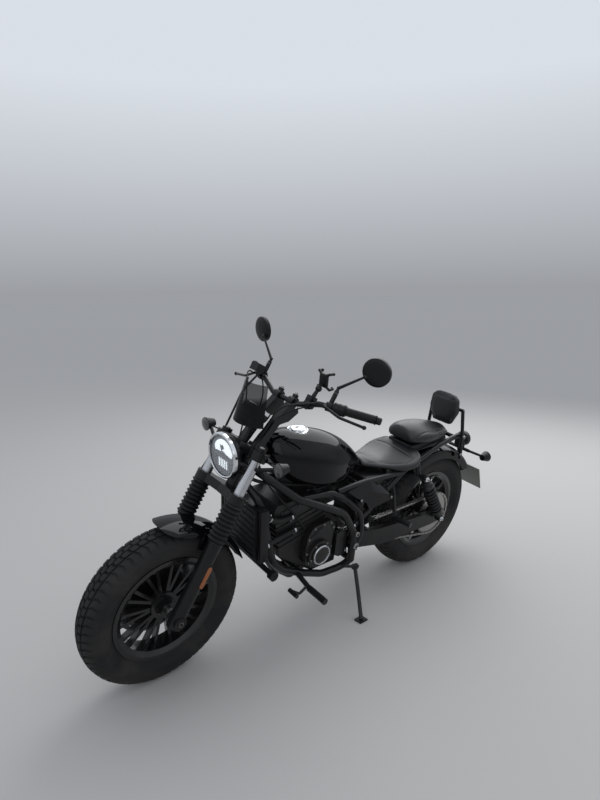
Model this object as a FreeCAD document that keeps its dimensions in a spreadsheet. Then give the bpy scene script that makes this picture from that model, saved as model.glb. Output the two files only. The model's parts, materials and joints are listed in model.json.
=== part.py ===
import FreeCAD, Part
import math
import os

import Sketcher

Vector = FreeCAD.Vector
Rotation = FreeCAD.Rotation
Placement = FreeCAD.Placement

# Cruiser motorcycle leaning on its side stand.
# X runs forward, Y to the rider's left, Z up, millimetres and degrees.
# The upright machine is modelled about a point on the floor halfway between the axles.
# Steered pieces are modelled along the steering axis, from the foot of the axle's perpendicular.

# Driving dimensions: alias, value
DIMENSIONS = (
    ("lean_angle", 9.7),
    ("steer_angle", 3.1),
    ("rake_angle", 28),
    ("fork_offset", 55),
    ("fork_spacing", 108),
    ("wheelbase", 1480),
    ("head_gap", 1),
    ("shaft_gap", 0.08),
    ("seat_gap", 0.3),
    # wheels
    ("front_tyre_radius", 320),
    ("front_tyre_width", 130),
    ("front_tyre_height", 117),
    ("rear_tyre_radius", 323),
    ("rear_tyre_width", 150),
    ("rear_tyre_height", 120),
    ("rim_flange_height", 11),
    ("rim_flange_width", 5),
    ("rim_well_depth", 22),
    ("front_rim_width", 92),
    ("rear_rim_width", 108),
    ("spoke_pairs", 10),
    ("spoke_leg_width", 12),
    ("spoke_spread", 48),
    ("spoke_depth", 24),
    ("hub_radius", 40),
    ("hub_flange_radius", 54),
    ("front_hub_width", 96),
    ("rear_hub_width", 120),
    ("axle_radius", 9),
    ("axle_bore", 7),
    ("axle_overhang", 6),
    ("axle_collar_radius", 15),
    ("front_disc_radius", 160),
    ("rear_disc_radius", 120),
    ("disc_band", 34),
    ("disc_thickness", 5),
    ("disc_slot_gap", 1.5),
    ("front_disc_place", 60),
    ("rear_disc_place", 78),
    # fork
    ("slider_radius", 28),
    ("slider_foot", 30),
    ("slider_top", 318),
    ("gaiter_top", 470),
    ("gaiter_radius", 38),
    ("gaiter_ribs", 9),
    ("gaiter_rib_depth", 8),
    ("clamp_height", 35),
    ("clamp_eye_radius", 34),
    ("fork_tube_radius", 20.5),
    ("upper_clamp_foot", 645),
    ("fork_cap_radius", 21),
    ("fork_cap_height", 14),
    ("stem_radius", 15),
    ("head_radius", 28),
    # handlebar
    ("riser_width", 30),
    ("riser_spacing", 43),
    ("riser_eye_radius", 21),
    ("bar_radius", 11),
    ("bar_bend", 60),
    ("grip_radius", 16.5),
    ("grip_length", 122),
    ("bar_weight_length", 18),
    ("pod_radius", 22),
    ("pod_length", 44),
    ("perch_radius", 18),
    ("perch_length", 24),
    ("lever_radius", 5.5),
    ("mirror_radius", 54),
    ("mirror_depth", 14),
    ("mirror_stem_radius", 5),
    ("hose_radius", 4.5),
    # lamps and dials
    ("headlight_radius", 88),
    ("headlight_depth", 52),
    ("headlight_ring", 10),
    ("lamp_ear_radius", 8),
    ("dial_radius", 56),
    ("dial_depth", 54),
    ("screen_radius", 80),
    ("screen_thickness", 3),
    ("indicator_radius", 27),
    ("indicator_depth", 40),
    ("indicator_stalk_radius", 7),
    # fenders
    ("front_fender_gap", 28),
    ("rear_fender_gap", 40),
    ("fender_thickness", 4),
    ("fender_side_gap", 13),
    ("front_skirt", 4),
    ("rear_skirt", 22),
    # frame
    ("frame_tube_radius", 17),
    ("down_tube_radius", 16),
    ("cradle_tube_radius", 14),
    ("subframe_tube_radius", 13),
    ("frame_spread", 120),
    ("pivot_spread", 154),
    ("pivot_radius", 14),
    ("frame_bend", 90),
    # drive
    ("chain_place", 98),
    ("chain_width", 16),
    ("chain_height", 15),
    ("chain_pitch", 15.875),
    ("front_teeth", 15),
    ("rear_teeth", 45),
    ("sprocket_thickness", 7),
    # rear end
    ("swingarm_spread", 122),
    ("swingarm_thickness", 26),
    ("shock_radius", 34),
    ("shock_coils", 7),
    ("shock_pitch", 22),
    ("stay_radius", 9),
    ("backrest_depth", 34),
    ("plate_width", 220),
    ("plate_height", 140),
    ("plate_thickness", 3),
    # engine and exhaust
    ("crankcase_half_width", 84),
    ("cylinder_half_width", 90),
    ("head_half_width", 96),
    ("cover_radius", 90),
    ("cover_depth", 40),
    ("boss_radius", 62),
    ("cap_radius", 44),
    ("header_radius", 18),
    ("collector_radius", 24),
    ("muffler_radius", 52),
    ("radiator_width", 290),
    ("radiator_height", 228),
    ("radiator_depth", 34),
    # stand and pegs
    ("stand_radius", 9),
    ("stand_pin", 6),
    ("peg_radius", 14),
    ("guard_radius", 11),
)

document = FreeCAD.newDocument("motorcycle")
dim = document.addObject("Spreadsheet::Sheet", "Dims")
for row, (alias, value) in enumerate(DIMENSIONS, start=1):
    dim.set(f"A{row}", alias)
    dim.set(f"B{row}", str(value))
    dim.setAlias(f"B{row}", alias)
document.recompute()

NODES = []
LEFT_AND_RIGHT = (1, -1)


def bound(feature, **expressions):
    """Ties properties of a feature to expressions over the sheet."""
    for name, expression in expressions.items():
        feature.setExpression(name, expression)
    return feature


def aimed(start, direction):
    """Placement with its own Z axis along a direction."""
    return Placement(start, Rotation(Vector(0, 0, 1), direction))


def cylinder(start, direction, radius, height):
    """Round bar from a point along a direction, radius and height as expressions."""
    bar = document.addObject("Part::Cylinder", "bar")
    bound(bar, Radius=radius, Height=height)
    bar.Placement = aimed(start, direction)
    return bar


def rod(start, end, radius):
    """Round bar between two points."""
    bar = document.addObject("Part::Cylinder", "rod")
    bound(bar, Radius=radius)
    bar.Height = start.distanceToPoint(end)
    bar.Placement = aimed(start, end - start)
    return bar


def cone(start, end, first_radius, second_radius):
    """Tapered round bar between two points."""
    bar = document.addObject("Part::Cone", "cone")
    bound(bar, Radius1=first_radius, Radius2=second_radius)
    bar.Height = start.distanceToPoint(end)
    bar.Placement = aimed(start, end - start)
    return bar


def block(corner, length, width, height):
    """Upright box from its lowest corner."""
    box = document.addObject("Part::Box", "block")
    box.Length, box.Width, box.Height = length, width, height
    box.Placement = Placement(corner, Rotation())
    return box


def ball(centre, radius):
    """Round knob."""
    knob = document.addObject("Part::Sphere", "ball")
    bound(knob, Radius=radius)
    knob.Placement = Placement(centre, Rotation())
    return knob


def moved(piece, x, y, z):
    """The piece shifted from where it was made."""
    piece.Placement = Placement(Vector(x, y, z), Rotation()) * piece.Placement
    return piece


def joined(*pieces):
    """One fused shape of several pieces."""
    fused = document.addObject("Part::MultiFuse", "joined")
    fused.Shapes = list(pieces)
    fused.Refine = True
    return fused


def cut(base, *tools):
    """The base with the tools taken away."""
    for tool in tools:
        result = document.addObject("Part::Cut", "cut")
        result.Base, result.Tool = base, tool
        base = result
    return base


def mirrored(piece):
    """The same piece on the other side of the machine."""
    twin = document.addObject("Part::Mirroring", "twin")
    twin.Source = piece
    twin.Normal = Vector(0, 1, 0)
    return twin


def pair(piece):
    """A piece with its twin on the other side."""
    return joined(piece, mirrored(piece))


def rounded_path(points, bend):
    """Straight runs through the points, joined by tangent arcs."""
    edges = []
    start = points[0]
    for before, corner, after in zip(points, points[1:], points[2:]):
        back = before - corner
        ahead = after - corner
        half_turn = (math.pi - back.getAngle(ahead)) / 2
        reach = min(bend * math.tan(half_turn), 0.45 * min(back.Length, ahead.Length))
        radius = reach / math.tan(half_turn)
        back.normalize()
        ahead.normalize()
        middle = back + ahead
        middle.normalize()
        entry = corner + back * reach
        leave = corner + ahead * reach
        crown = corner + middle * (radius / math.cos(half_turn) - radius)
        edges.append(Part.LineSegment(start, entry).toShape())
        edges.append(Part.Arc(entry, crown, leave).toShape())
        start = leave
    edges.append(Part.LineSegment(start, points[-1]).toShape())
    return Part.Wire(edges)


def tube(points, radius, bend):
    """Bent round tube through the points."""
    spine = document.addObject("Part::Feature", "spine")
    spine.Shape = rounded_path(points, bend)
    ring = document.addObject("Part::Circle", "ring")
    bound(ring, Radius=radius)
    ring.Placement = aimed(points[0], points[1] - points[0])
    swept = document.addObject("Part::Sweep", "tube")
    swept.Sections = [ring]
    swept.Spine = (spine, [])
    swept.Solid = True
    return swept


def origin_plane(body, role):
    """One of a body's own origin planes."""
    return next(plane for plane in body.Origin.OriginFeatures if plane.Role == role)


def profile(body, role, corners):
    """Closed sketch through corners of two expressions each.

    A corner of four expressions starts an arc through the point that the last two give.
    """
    sketch = body.newObject("Sketcher::SketchObject", "profile")
    sketch.AttachmentSupport = [(origin_plane(body, role), "")]
    sketch.MapMode = "FlatFace"
    places = [[sketch.evalExpression(text) for text in corner] for corner in corners]
    ends = [Vector(place[0], place[1], 0) for place in places]
    through = {}
    first_and_last = []
    for index, place in enumerate(places):
        start = ends[index]
        end = ends[(index + 1) % len(ends)]
        if len(place) == 4:
            through[index] = Vector(place[2], place[3], 0)
            sketch.addGeometry(Part.Arc(start, through[index], end))
        else:
            sketch.addGeometry(Part.LineSegment(start, end))
        forward = sketch.getPoint(index, 1).distanceToPoint(start) < 1e-6
        first_and_last.append((1, 2) if forward else (2, 1))
    for index in range(len(corners)):
        following = (index + 1) % len(corners)
        sketch.addConstraint(Sketcher.Constraint(
            "Coincident", index, first_and_last[index][1], following, first_and_last[following][0]))
    for index, corner in enumerate(corners):
        for kind, text in zip(("DistanceX", "DistanceY"), corner[:2]):
            hold(sketch, kind, index, first_and_last[index][0], text)
        if index in through:
            mark = sketch.addGeometry(Part.Point(through[index]), True)
            sketch.addConstraint(Sketcher.Constraint("PointOnObject", mark, 1, index))
            for kind, text in zip(("DistanceX", "DistanceY"), corner[2:]):
                hold(sketch, kind, mark, 1, text)
    return sketch


def hold(sketch, kind, geometry, position, text):
    """Fixes one coordinate of a point by an expression."""
    constraint = sketch.addConstraint(
        Sketcher.Constraint(kind, geometry, position, sketch.evalExpression(text)))
    sketch.setExpression(f"Constraints[{constraint}]", text)


def spun(name, corners, role="YZ_Plane", axis="H_Axis", angle="360"):
    """Body turned from a profile, about the machine's cross axis unless told otherwise."""
    body = document.addObject("PartDesign::Body", name)
    turning = body.newObject("PartDesign::Revolution", "turning")
    turning.Profile = profile(body, role, corners)
    turning.ReferenceAxis = (turning.Profile[0], [axis])
    bound(turning, Angle=angle)
    body.Tip = turning
    return body


def turned(corners):
    """Body turned about its own Z axis from radius and height expressions."""
    return spun("turned", corners, "XZ_Plane", "V_Axis")


def slab(name, role, corners, depth, centred=True):
    """Body of even thickness over a profile."""
    body = document.addObject("PartDesign::Body", name)
    pad = body.newObject("PartDesign::Pad", "pad")
    pad.Profile = profile(body, role, corners)
    bound(pad, Length=depth)
    if centred:
        pad.SideType = "Symmetric"
    body.Tip = pad
    return body



def pillow_section(place, half_width, low, shoulder, top):
    """Closed wire across the machine: flat below, round sides and a crowned top."""
    widest = (low + shoulder) / 2
    points = [at(place, y, z) for y, z in (
        (-half_width * 0.86, low), (half_width * 0.86, low), (half_width, widest),
        (half_width * 0.8, shoulder), (0, top), (-half_width * 0.8, shoulder), (-half_width, widest))]
    return Part.Wire([
        Part.LineSegment(points[0], points[1]).toShape(),
        Part.Arc(points[1], points[2], points[3]).toShape(),
        Part.Arc(points[3], points[4], points[5]).toShape(),
        Part.Arc(points[5], points[6], points[0]).toShape(),
    ])


def lofted(stations):
    """Solid through the pillow sections of a table of stations."""
    feature = document.addObject("Part::Feature", "loft")
    feature.Shape = Part.makeLoft([pillow_section(*station) for station in stations], True)
    return feature


def node(name, feature, frame, place=None):
    """Registers a finished sub-part under its node name, in one of the machine's frames."""
    feature.Label = name
    NODES.append((name, feature, frame, place or Placement()))
    return feature


# Frames of the machine
front_axle_point = Vector(dim.wheelbase / 2, 0, dim.front_tyre_radius)
rear_axle_point = Vector(-dim.wheelbase / 2, 0, dim.rear_tyre_radius)
rake = math.radians(dim.rake_angle)
steering_forward = Vector(math.cos(rake), 0, math.sin(rake))
steering_axis = Vector(-math.sin(rake), 0, math.cos(rake))
steering_foot = front_axle_point - steering_forward * dim.fork_offset
ACROSS = Vector(0, 1, 0)
UP = Vector(0, 0, 1)

leaned = Placement(Vector(), Rotation(Vector(1, 0, 0), -dim.lean_angle))
raked = Placement(steering_foot, Rotation(Vector(0, 1, 0), -dim.rake_angle))
steered = Placement(Vector(), Rotation(Vector(0, 0, 1), dim.steer_angle))
BIKE = leaned
FORK = leaned * raked * steered
STEER = FORK * raked.inverse()

# Sites on the upright machine are drawn for these sizes, and move with the axles
DRAWN_WHEELBASE = 1480
DRAWN_FRONT_RADIUS = 320
DRAWN_REAR_RADIUS = 323


def fork(ahead, side, up):
    """Point of the upright machine from steering coordinates."""
    return steering_foot + steering_forward * ahead + Vector(0, side, 0) + steering_axis * up


def at(x, y, z):
    """Point of the upright machine from a drawn site."""
    share = 0.5 + x / DRAWN_WHEELBASE
    lift = (share * (dim.front_tyre_radius - DRAWN_FRONT_RADIUS)
            + (1 - share) * (dim.rear_tyre_radius - DRAWN_REAR_RADIUS))
    return Vector(x * dim.wheelbase / DRAWN_WHEELBASE, y, z + lift)


def site_text(x, z):
    """The same in a sketch of the side view: two expressions over the sheet."""
    share = 0.5 + x / DRAWN_WHEELBASE
    along = f"{x / DRAWN_WHEELBASE:.8f} * Dims.wheelbase"
    height = (f"{z} + {share:.6f} * (Dims.front_tyre_radius - {DRAWN_FRONT_RADIUS})"
              f" + {1 - share:.6f} * (Dims.rear_tyre_radius - {DRAWN_REAR_RADIUS})")
    return along, height


def outline(*corners):
    """Sketch corners from drawn sites: x, z and for an arc the x, z that it passes through."""
    texts = []
    for corner in corners:
        text = site_text(*corner[:2])
        if len(corner) == 4:
            text += site_text(*corner[2:])
        texts.append(text)
    return texts


# Wheels
# share of the width to the side, share of the section's height above the bead
TYRE_OUTLINE = ((0.475, 0.28), (0.5, 0.5), (0.48, 0.7), (0.4, 0.865), (0.25, 0.96), (0.09, 1))


def bead_radius(radius, height):
    return f"({radius} - {height})"


def tyre(name, radius, width, height, rim_width):
    bead = f"({rim_width} / 2 - Dims.rim_flange_width)"
    seat = bead_radius(radius, height)
    right = [(bead, seat), (bead, f"{seat} + Dims.rim_flange_height + 1")]
    right += [(f"{across} * {width}", f"{seat} + {up} * {height}") for across, up in TYRE_OUTLINE]
    left = [(f"-({across})", up) for across, up in reversed(right)]
    return spun(name, right + left)


def rim(name, bead, rim_width, hub_width):
    """Cast rim with pairs of straight spokes that meet at the hub."""
    outer = f"({rim_width} / 2)"
    seat = f"({rim_width} / 2 - Dims.rim_flange_width)"
    flange = f"{bead} + Dims.rim_flange_height"
    well = f"{bead} - Dims.rim_well_depth"
    lip = f"{bead} - Dims.rim_flange_width"
    ramp = "Dims.spoke_leg_width"
    body = spun(name, (
        (f"-{outer}", flange), (f"-{seat}", flange), (f"-{seat}", bead),
        (seat, bead), (seat, flange), (outer, flange),
        (outer, lip), (f"{outer} - {ramp}", well), (f"{ramp} - {outer}", well), (f"-{outer}", lip),
    ))
    spokes = body.newObject("PartDesign::Pad", "spokes")
    end = f"{well} + 2"
    half = "Dims.spoke_spread / 2"
    leg = "Dims.spoke_leg_width / 2"
    root = "Dims.hub_radius - 2"
    spokes.Profile = profile(body, "XZ_Plane", (
        (root, f"-{leg} - 2"), (end, f"-{half} - {leg}"), (end, f"-{half} + {leg}"),
        ("Dims.hub_flange_radius + 16", "0"),
        (end, f"{half} - {leg}"), (end, f"{half} + {leg}"), (root, f"{leg} + 2"),
    ))
    spokes.SideType = "Symmetric"
    bound(spokes, Length="Dims.spoke_depth")
    hub = body.newObject("PartDesign::Revolution", "hub")
    inner = "Dims.axle_radius + Dims.shaft_gap"
    edge = f"({hub_width} / 2)"
    flange_edge = "(Dims.spoke_depth / 2 + 6)"
    barrel = "Dims.hub_radius - 8"
    hub.Profile = profile(body, "YZ_Plane", (
        (f"-{edge}", inner), (edge, inner), (edge, barrel),
        (flange_edge, "Dims.hub_radius"), (flange_edge, "Dims.hub_flange_radius"),
        (f"-{flange_edge}", "Dims.hub_flange_radius"), (f"-{flange_edge}", "Dims.hub_radius"),
        (f"-{edge}", barrel),
    ))
    hub.ReferenceAxis = (hub.Profile[0], ["H_Axis"])
    hub.Angle = 360
    ring = body.newObject("PartDesign::PolarPattern", "spoke_ring")
    ring.Originals = [spokes]
    ring.Axis = (spokes.Profile[0], ["N_Axis"])
    ring.Angle = 360
    bound(ring, Occurrences="Dims.spoke_pairs")
    body.Tip = ring
    return body


def disc(name, radius, place, hub_width):
    """Brake disc on the right: the swept band and the dished carrier that holds it to the hub."""
    near = f"-({place} - Dims.disc_thickness / 2)"
    far = f"-({place} + Dims.disc_thickness / 2)"
    inside = f"{radius} - Dims.disc_band"
    band = spun(name + "_band", ((near, inside), (near, radius), (far, radius), (far, inside)))
    face = f"-{hub_width} / 2"
    back = f"-{hub_width} / 2 - Dims.disc_thickness"
    bore = "Dims.axle_collar_radius + 6"
    carrier = spun(name + "_carrier", (
        (face, bore), (face, "Dims.hub_flange_radius"),
        (near, f"{inside} + 3"), (far, f"{inside} + 3"), (far, f"{inside} - 8"),
        (back, "Dims.hub_flange_radius - 8"), (back, bore),
    ))
    return joined(band, carrier)


def wheels():
    # end, frame, axle point, rim and hub width, disc place
    for end, frame, centre in (("front", STEER, front_axle_point), ("rear", BIKE, rear_axle_point)):
        radius = f"Dims.{end}_tyre_radius"
        height = f"Dims.{end}_tyre_height"
        rim_width = f"Dims.{end}_rim_width"
        hub_width = f"Dims.{end}_hub_width"
        place = Placement(centre, Rotation())
        node(f"{end}_tyre", tyre(f"{end}_tyre_body", radius, f"Dims.{end}_tyre_width", height, rim_width),
             frame, place)
        node(f"{end}_rim", rim(f"{end}_rim_body", bead_radius(radius, height), rim_width, hub_width),
             frame, place)
        node(f"{end}_disc", disc(f"{end}_disc", f"Dims.{end}_disc_radius", f"Dims.{end}_disc_place", hub_width),
             frame, place)


# Fork and what turns with it
def leg_point(side, up=0):
    return Vector(dim.fork_offset, side * dim.fork_spacing, up)


def sliders():
    leg = leg_point(1)
    slider = cylinder(leg - UP * dim.slider_foot, UP, "Dims.slider_radius", "Dims.slider_foot + Dims.slider_top")
    lug_width = 2 * dim.slider_radius + 4
    lug = cylinder(leg - ACROSS * lug_width / 2, ACROSS, "Dims.slider_radius - 3", "2 * Dims.slider_radius + 4")
    bore = cylinder(leg - ACROSS * lug_width, ACROSS, "Dims.axle_radius", "4 * Dims.slider_radius + 8")
    node("fork_sliders", pair(cut(joined(slider, lug), bore)), FORK)


def gaiters():
    ribs = int(dim.gaiter_ribs)
    pitch = "((Dims.gaiter_top - Dims.slider_top - Dims.seat_gap) / Dims.gaiter_ribs)"
    corners = [("0", "0")]
    for rib in range(ribs):
        corners.append(("Dims.gaiter_radius - Dims.gaiter_rib_depth", f"{rib} * {pitch}"))
        corners.append(("Dims.gaiter_radius", f"({rib} + 0.5) * {pitch}"))
    corners.append(("Dims.gaiter_radius - Dims.gaiter_rib_depth", f"{ribs} * {pitch}"))
    corners.append(("0", f"{ribs} * {pitch}"))
    gaiter = moved(turned(corners), dim.fork_offset, dim.fork_spacing, dim.slider_top)
    node("fork_gaiters", pair(gaiter), FORK)


def fork_clamps():
    spacing = "Dims.fork_spacing"
    offset = "Dims.fork_offset"
    corners = (
        ("-Dims.head_radius + 4", "-22"), (f"{offset} - 18", f"-{spacing}"), (f"{offset} + 20", f"-{spacing}"),
        (f"{offset} + 8", "0"), (f"{offset} + 20", spacing), (f"{offset} - 18", spacing),
        ("-Dims.head_radius + 4", "22"),
    )
    for name, height in (("lower_clamp", dim.gaiter_top), ("upper_clamp", dim.upper_clamp_foot)):
        bridge = slab(name + "_bridge", "XY_Plane", corners, "Dims.clamp_height", centred=False)
        pieces = [moved(bridge, 0, 0, height),
                  cylinder(UP * height, UP, "Dims.head_radius", "Dims.clamp_height")]
        for side in LEFT_AND_RIGHT:
            pieces.append(cylinder(leg_point(side, height), UP, "Dims.clamp_eye_radius", "Dims.clamp_height"))
        if name == "lower_clamp":
            pieces.append(cylinder(UP * height, UP, "Dims.stem_radius", "Dims.upper_clamp_foot - Dims.gaiter_top"))
        else:
            pieces.append(cylinder(UP * height, UP, "Dims.stem_radius + 3", "Dims.clamp_height + 10"))
            for side in LEFT_AND_RIGHT:
                pieces.append(cylinder(leg_point(side, height), UP, "Dims.fork_cap_radius",
                                       "Dims.clamp_height + Dims.fork_cap_height"))
        node(name, joined(*pieces), FORK)
    foot = leg_point(1, dim.gaiter_top + dim.clamp_height)
    sleeve = cylinder(foot, UP, "Dims.fork_tube_radius",
                      "Dims.upper_clamp_foot - Dims.gaiter_top - Dims.clamp_height")
    node("fork_sleeves", pair(sleeve), FORK)


def front_axle():
    half_length = dim.fork_spacing + dim.slider_radius + dim.axle_overhang
    pieces = [cylinder(Vector(dim.fork_offset, -half_length, 0), ACROSS, "Dims.axle_radius",
                       "2 * (Dims.fork_spacing + Dims.slider_radius + Dims.axle_overhang)")]
    for side in LEFT_AND_RIGHT:
        start = Vector(dim.fork_offset, side * (dim.front_hub_width / 2 + 1), 0)
        pieces.append(cylinder(start, ACROSS * side, "Dims.axle_collar_radius",
                               "Dims.fork_spacing - Dims.slider_radius - Dims.front_hub_width / 2 - 3"))
    hole = cylinder(Vector(dim.fork_offset, -half_length - 1, 0), ACROSS, "Dims.axle_bore",
                    "2 * (Dims.fork_spacing + Dims.slider_radius + Dims.axle_overhang + 1)")
    node("front_axle", cut(joined(*pieces), hole), FORK)


# share of the half width to the side, share of the crown's rise
FENDER_CROWN = ((1, 0), (0.9, 0.42), (0.66, 0.78), (0.34, 0.96), (0, 1))
CROWN_RISE = 26


def fender_shell(name, end, angle):
    """Bent mudguard with a crowned top and short skirts, as a part turn about the axle."""
    radius = f"Dims.{end}_tyre_radius"
    half = f"(Dims.{end}_tyre_width / 2 + Dims.fender_side_gap)"
    foot = f"({radius} - Dims.{end}_skirt)"
    bend = f"({radius} + Dims.{end}_fender_gap - {CROWN_RISE})"
    thick = "Dims.fender_thickness"
    outer = [(half, foot)] + [(f"{share} * {half}", f"{bend} + {rise * CROWN_RISE}")
                              for share, rise in FENDER_CROWN]
    inner = [(f"({half} - {thick})", foot)] + [(f"{share} * ({half} - {thick})", f"{bend} + {rise * CROWN_RISE} - {thick}")
                                               for share, rise in FENDER_CROWN]
    right_to_left = outer + [(f"-({across})", up) for across, up in reversed(outer[:-1])]
    back = inner + [(f"-({across})", up) for across, up in reversed(inner[:-1])]
    return spun(name, right_to_left + back[::-1], angle=angle)


def fenders():
    turn = Rotation(Vector(0, 1, 0), -73)
    shell = fender_shell("front_fender_body", "front", "78")
    shell.Placement = Placement(Vector(), turn) * shell.Placement
    tilt = Placement(Vector(), Rotation(Vector(0, 1, 0), -dim.rake_angle))
    face = dim.fork_spacing - dim.slider_radius - dim.seat_gap
    inside = dim.front_tyre_width / 2 + dim.fender_side_gap - dim.fender_thickness
    tab = block(Vector(-36, inside, dim.front_tyre_radius - 58), 72, face - inside, 66)
    notch = cylinder(Vector(0, dim.fork_spacing, dim.slider_top - 3), UP, "Dims.gaiter_radius + 3", "100")
    for piece in (tab, notch):
        piece.Placement = tilt * piece.Placement
    fender = cut(joined(shell, tab, mirrored(tab)), notch, mirrored(notch))
    node("front_fender", fender, STEER, Placement(front_axle_point, Rotation()))

    shell = fender_shell("rear_fender_body", "rear", "100")
    node("rear_fender", shell, BIKE, Placement(rear_axle_point, Rotation(Vector(0, 1, 0), -60)))


def front_lamps():
    face = fork(117, 0, 602)
    forward = Vector(1, 0, -0.03)
    radius = "Dims.headlight_radius"
    glass = "(Dims.headlight_radius - Dims.headlight_ring)"
    depth = "Dims.headlight_depth"
    shell = turned((
        ("0", f"-{depth}"), (f"{radius} * 0.5", f"-{depth}"), (f"{radius} * 0.78", f"-{depth} * 0.8"),
        (f"{radius} * 0.96", f"-{depth} * 0.5"), (radius, f"-{depth} * 0.35"),
        (radius, "0"), (glass, "0"), (glass, "-8"), ("0", "-8"),
    ))
    shell.Placement = aimed(face, forward)
    ears = []
    legs = []
    for side in LEFT_AND_RIGHT:
        ears.append(rod(fork(dim.fork_offset, side * dim.fork_spacing, 618),
                        face + Vector(-14, side * (dim.headlight_radius - 10), 0), "Dims.lamp_ear_radius"))
        legs.append(cylinder(fork(dim.fork_offset, side * dim.fork_spacing, 560), steering_axis,
                             "Dims.fork_tube_radius + Dims.seat_gap", "80"))
    node("headlight_shell", cut(joined(shell, *ears), *legs), STEER)
    lens = turned((
        ("0", "-7.7"), (f"{glass} - Dims.seat_gap", "-7.7"), (f"{glass} - Dims.seat_gap", "-3"),
        (f"{glass} * 0.6", "2"), ("0", "4"),
    ))
    node("headlight_lens", lens, STEER, aimed(face, forward))

    stalks = []
    for side in LEFT_AND_RIGHT:
        root = fork(dim.fork_offset, side * (dim.fork_spacing + dim.fork_tube_radius + 1), 616)
        lamp = fork(43, side * 234, 668)
        back = lamp - Vector(dim.indicator_depth / 2, 0, 0)
        stalks.append(rod(root, lamp, "Dims.indicator_stalk_radius"))
        stalks.append(cone(back, back + Vector(dim.indicator_depth, 0, 0),
                           "Dims.indicator_radius * 0.6", "Dims.indicator_radius"))
    legs = [cylinder(fork(dim.fork_offset, side * dim.fork_spacing, 560), steering_axis,
                     "Dims.fork_tube_radius + Dims.seat_gap", "80") for side in LEFT_AND_RIGHT]
    node("front_indicators", cut(joined(*stalks), *legs), STEER)


def dash():
    """Round dial facing the rider on a post from the upper clamp, behind a wrapped screen."""
    radius = "Dims.dial_radius"
    depth = "Dims.dial_depth"
    facing = Vector(-0.62, 0, 0.78)
    dial = turned((("0", f"-{depth}"), (f"{radius} * 0.7", f"-{depth}"),
                   (radius, f"-{depth} * 0.45"), (radius, "0"), ("0", "0")))
    dial.Placement = aimed(fork(62, 0, 815), facing)
    clamp_top = dim.upper_clamp_foot + dim.clamp_height
    post = rod(fork(48, 0, clamp_top), fork(48, 0, clamp_top + 96), "10")
    screen_place = Placement(fork(46, 0, 766), Rotation(Vector(0, 1, 0), -6.5))
    pin = rod(screen_place.multVec(Vector(36, 0, 24)),
              screen_place.multVec(Vector(dim.screen_radius - 4, 0, 24)), "5")
    node("instrument_pod", joined(dial, post, pin), STEER)
    screen = spun("screen_body", (
        ("Dims.screen_radius", "0"), ("Dims.screen_radius + Dims.screen_thickness", "0"),
        ("Dims.screen_radius * 0.74 + Dims.screen_thickness", "158"), ("Dims.screen_radius * 0.74", "158"),
    ), "XZ_Plane", "V_Axis", angle="150")
    node("flyscreen", screen, STEER, screen_place * Placement(Vector(), Rotation(UP, -75)))


bar_clamp = Vector(-48, 0, 896)
bar_bend_point = Vector(-48, 72, 896)
bar_corner = Vector(-55, 165, 933)
bar_end = Vector(-147, 363, 970)
grip_run = (bar_corner - bar_end)
grip_run.normalize()


def other_side(point):
    return Vector(point.x, -point.y, point.z)


def handlebar():
    left = [bar_end, bar_corner, bar_bend_point]
    path = left + [other_side(point) for point in reversed(left)]
    node("handlebar", tube(path, "Dims.bar_radius", dim.bar_bend), FORK)
    foot = dim.upper_clamp_foot + dim.clamp_height
    # ahead, up
    arm = slab("riser_body", "XZ_Plane", (
        ("2", f"{foot}"), ("34", f"{foot}"), ("4", "806"), ("-30", "888"), ("-66", "896"), ("-90", "866"),
        ("-62", "820"), ("-26", "796"),
    ), "Dims.riser_width")
    eye = cylinder(bar_clamp - ACROSS * dim.riser_width / 2, ACROSS, "Dims.riser_eye_radius", "Dims.riser_width")
    cap = cylinder(bar_clamp + Vector(0, 0, 10), UP, "Dims.riser_width / 2 - 3", "Dims.riser_eye_radius")
    hole = cylinder(bar_clamp - ACROSS * dim.riser_width, ACROSS, "Dims.bar_radius", "2 * Dims.riser_width")
    riser = moved(cut(joined(arm, eye, cap), hole), 0, dim.riser_spacing, 0)
    node("handlebar_risers", pair(riser), FORK)


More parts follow.
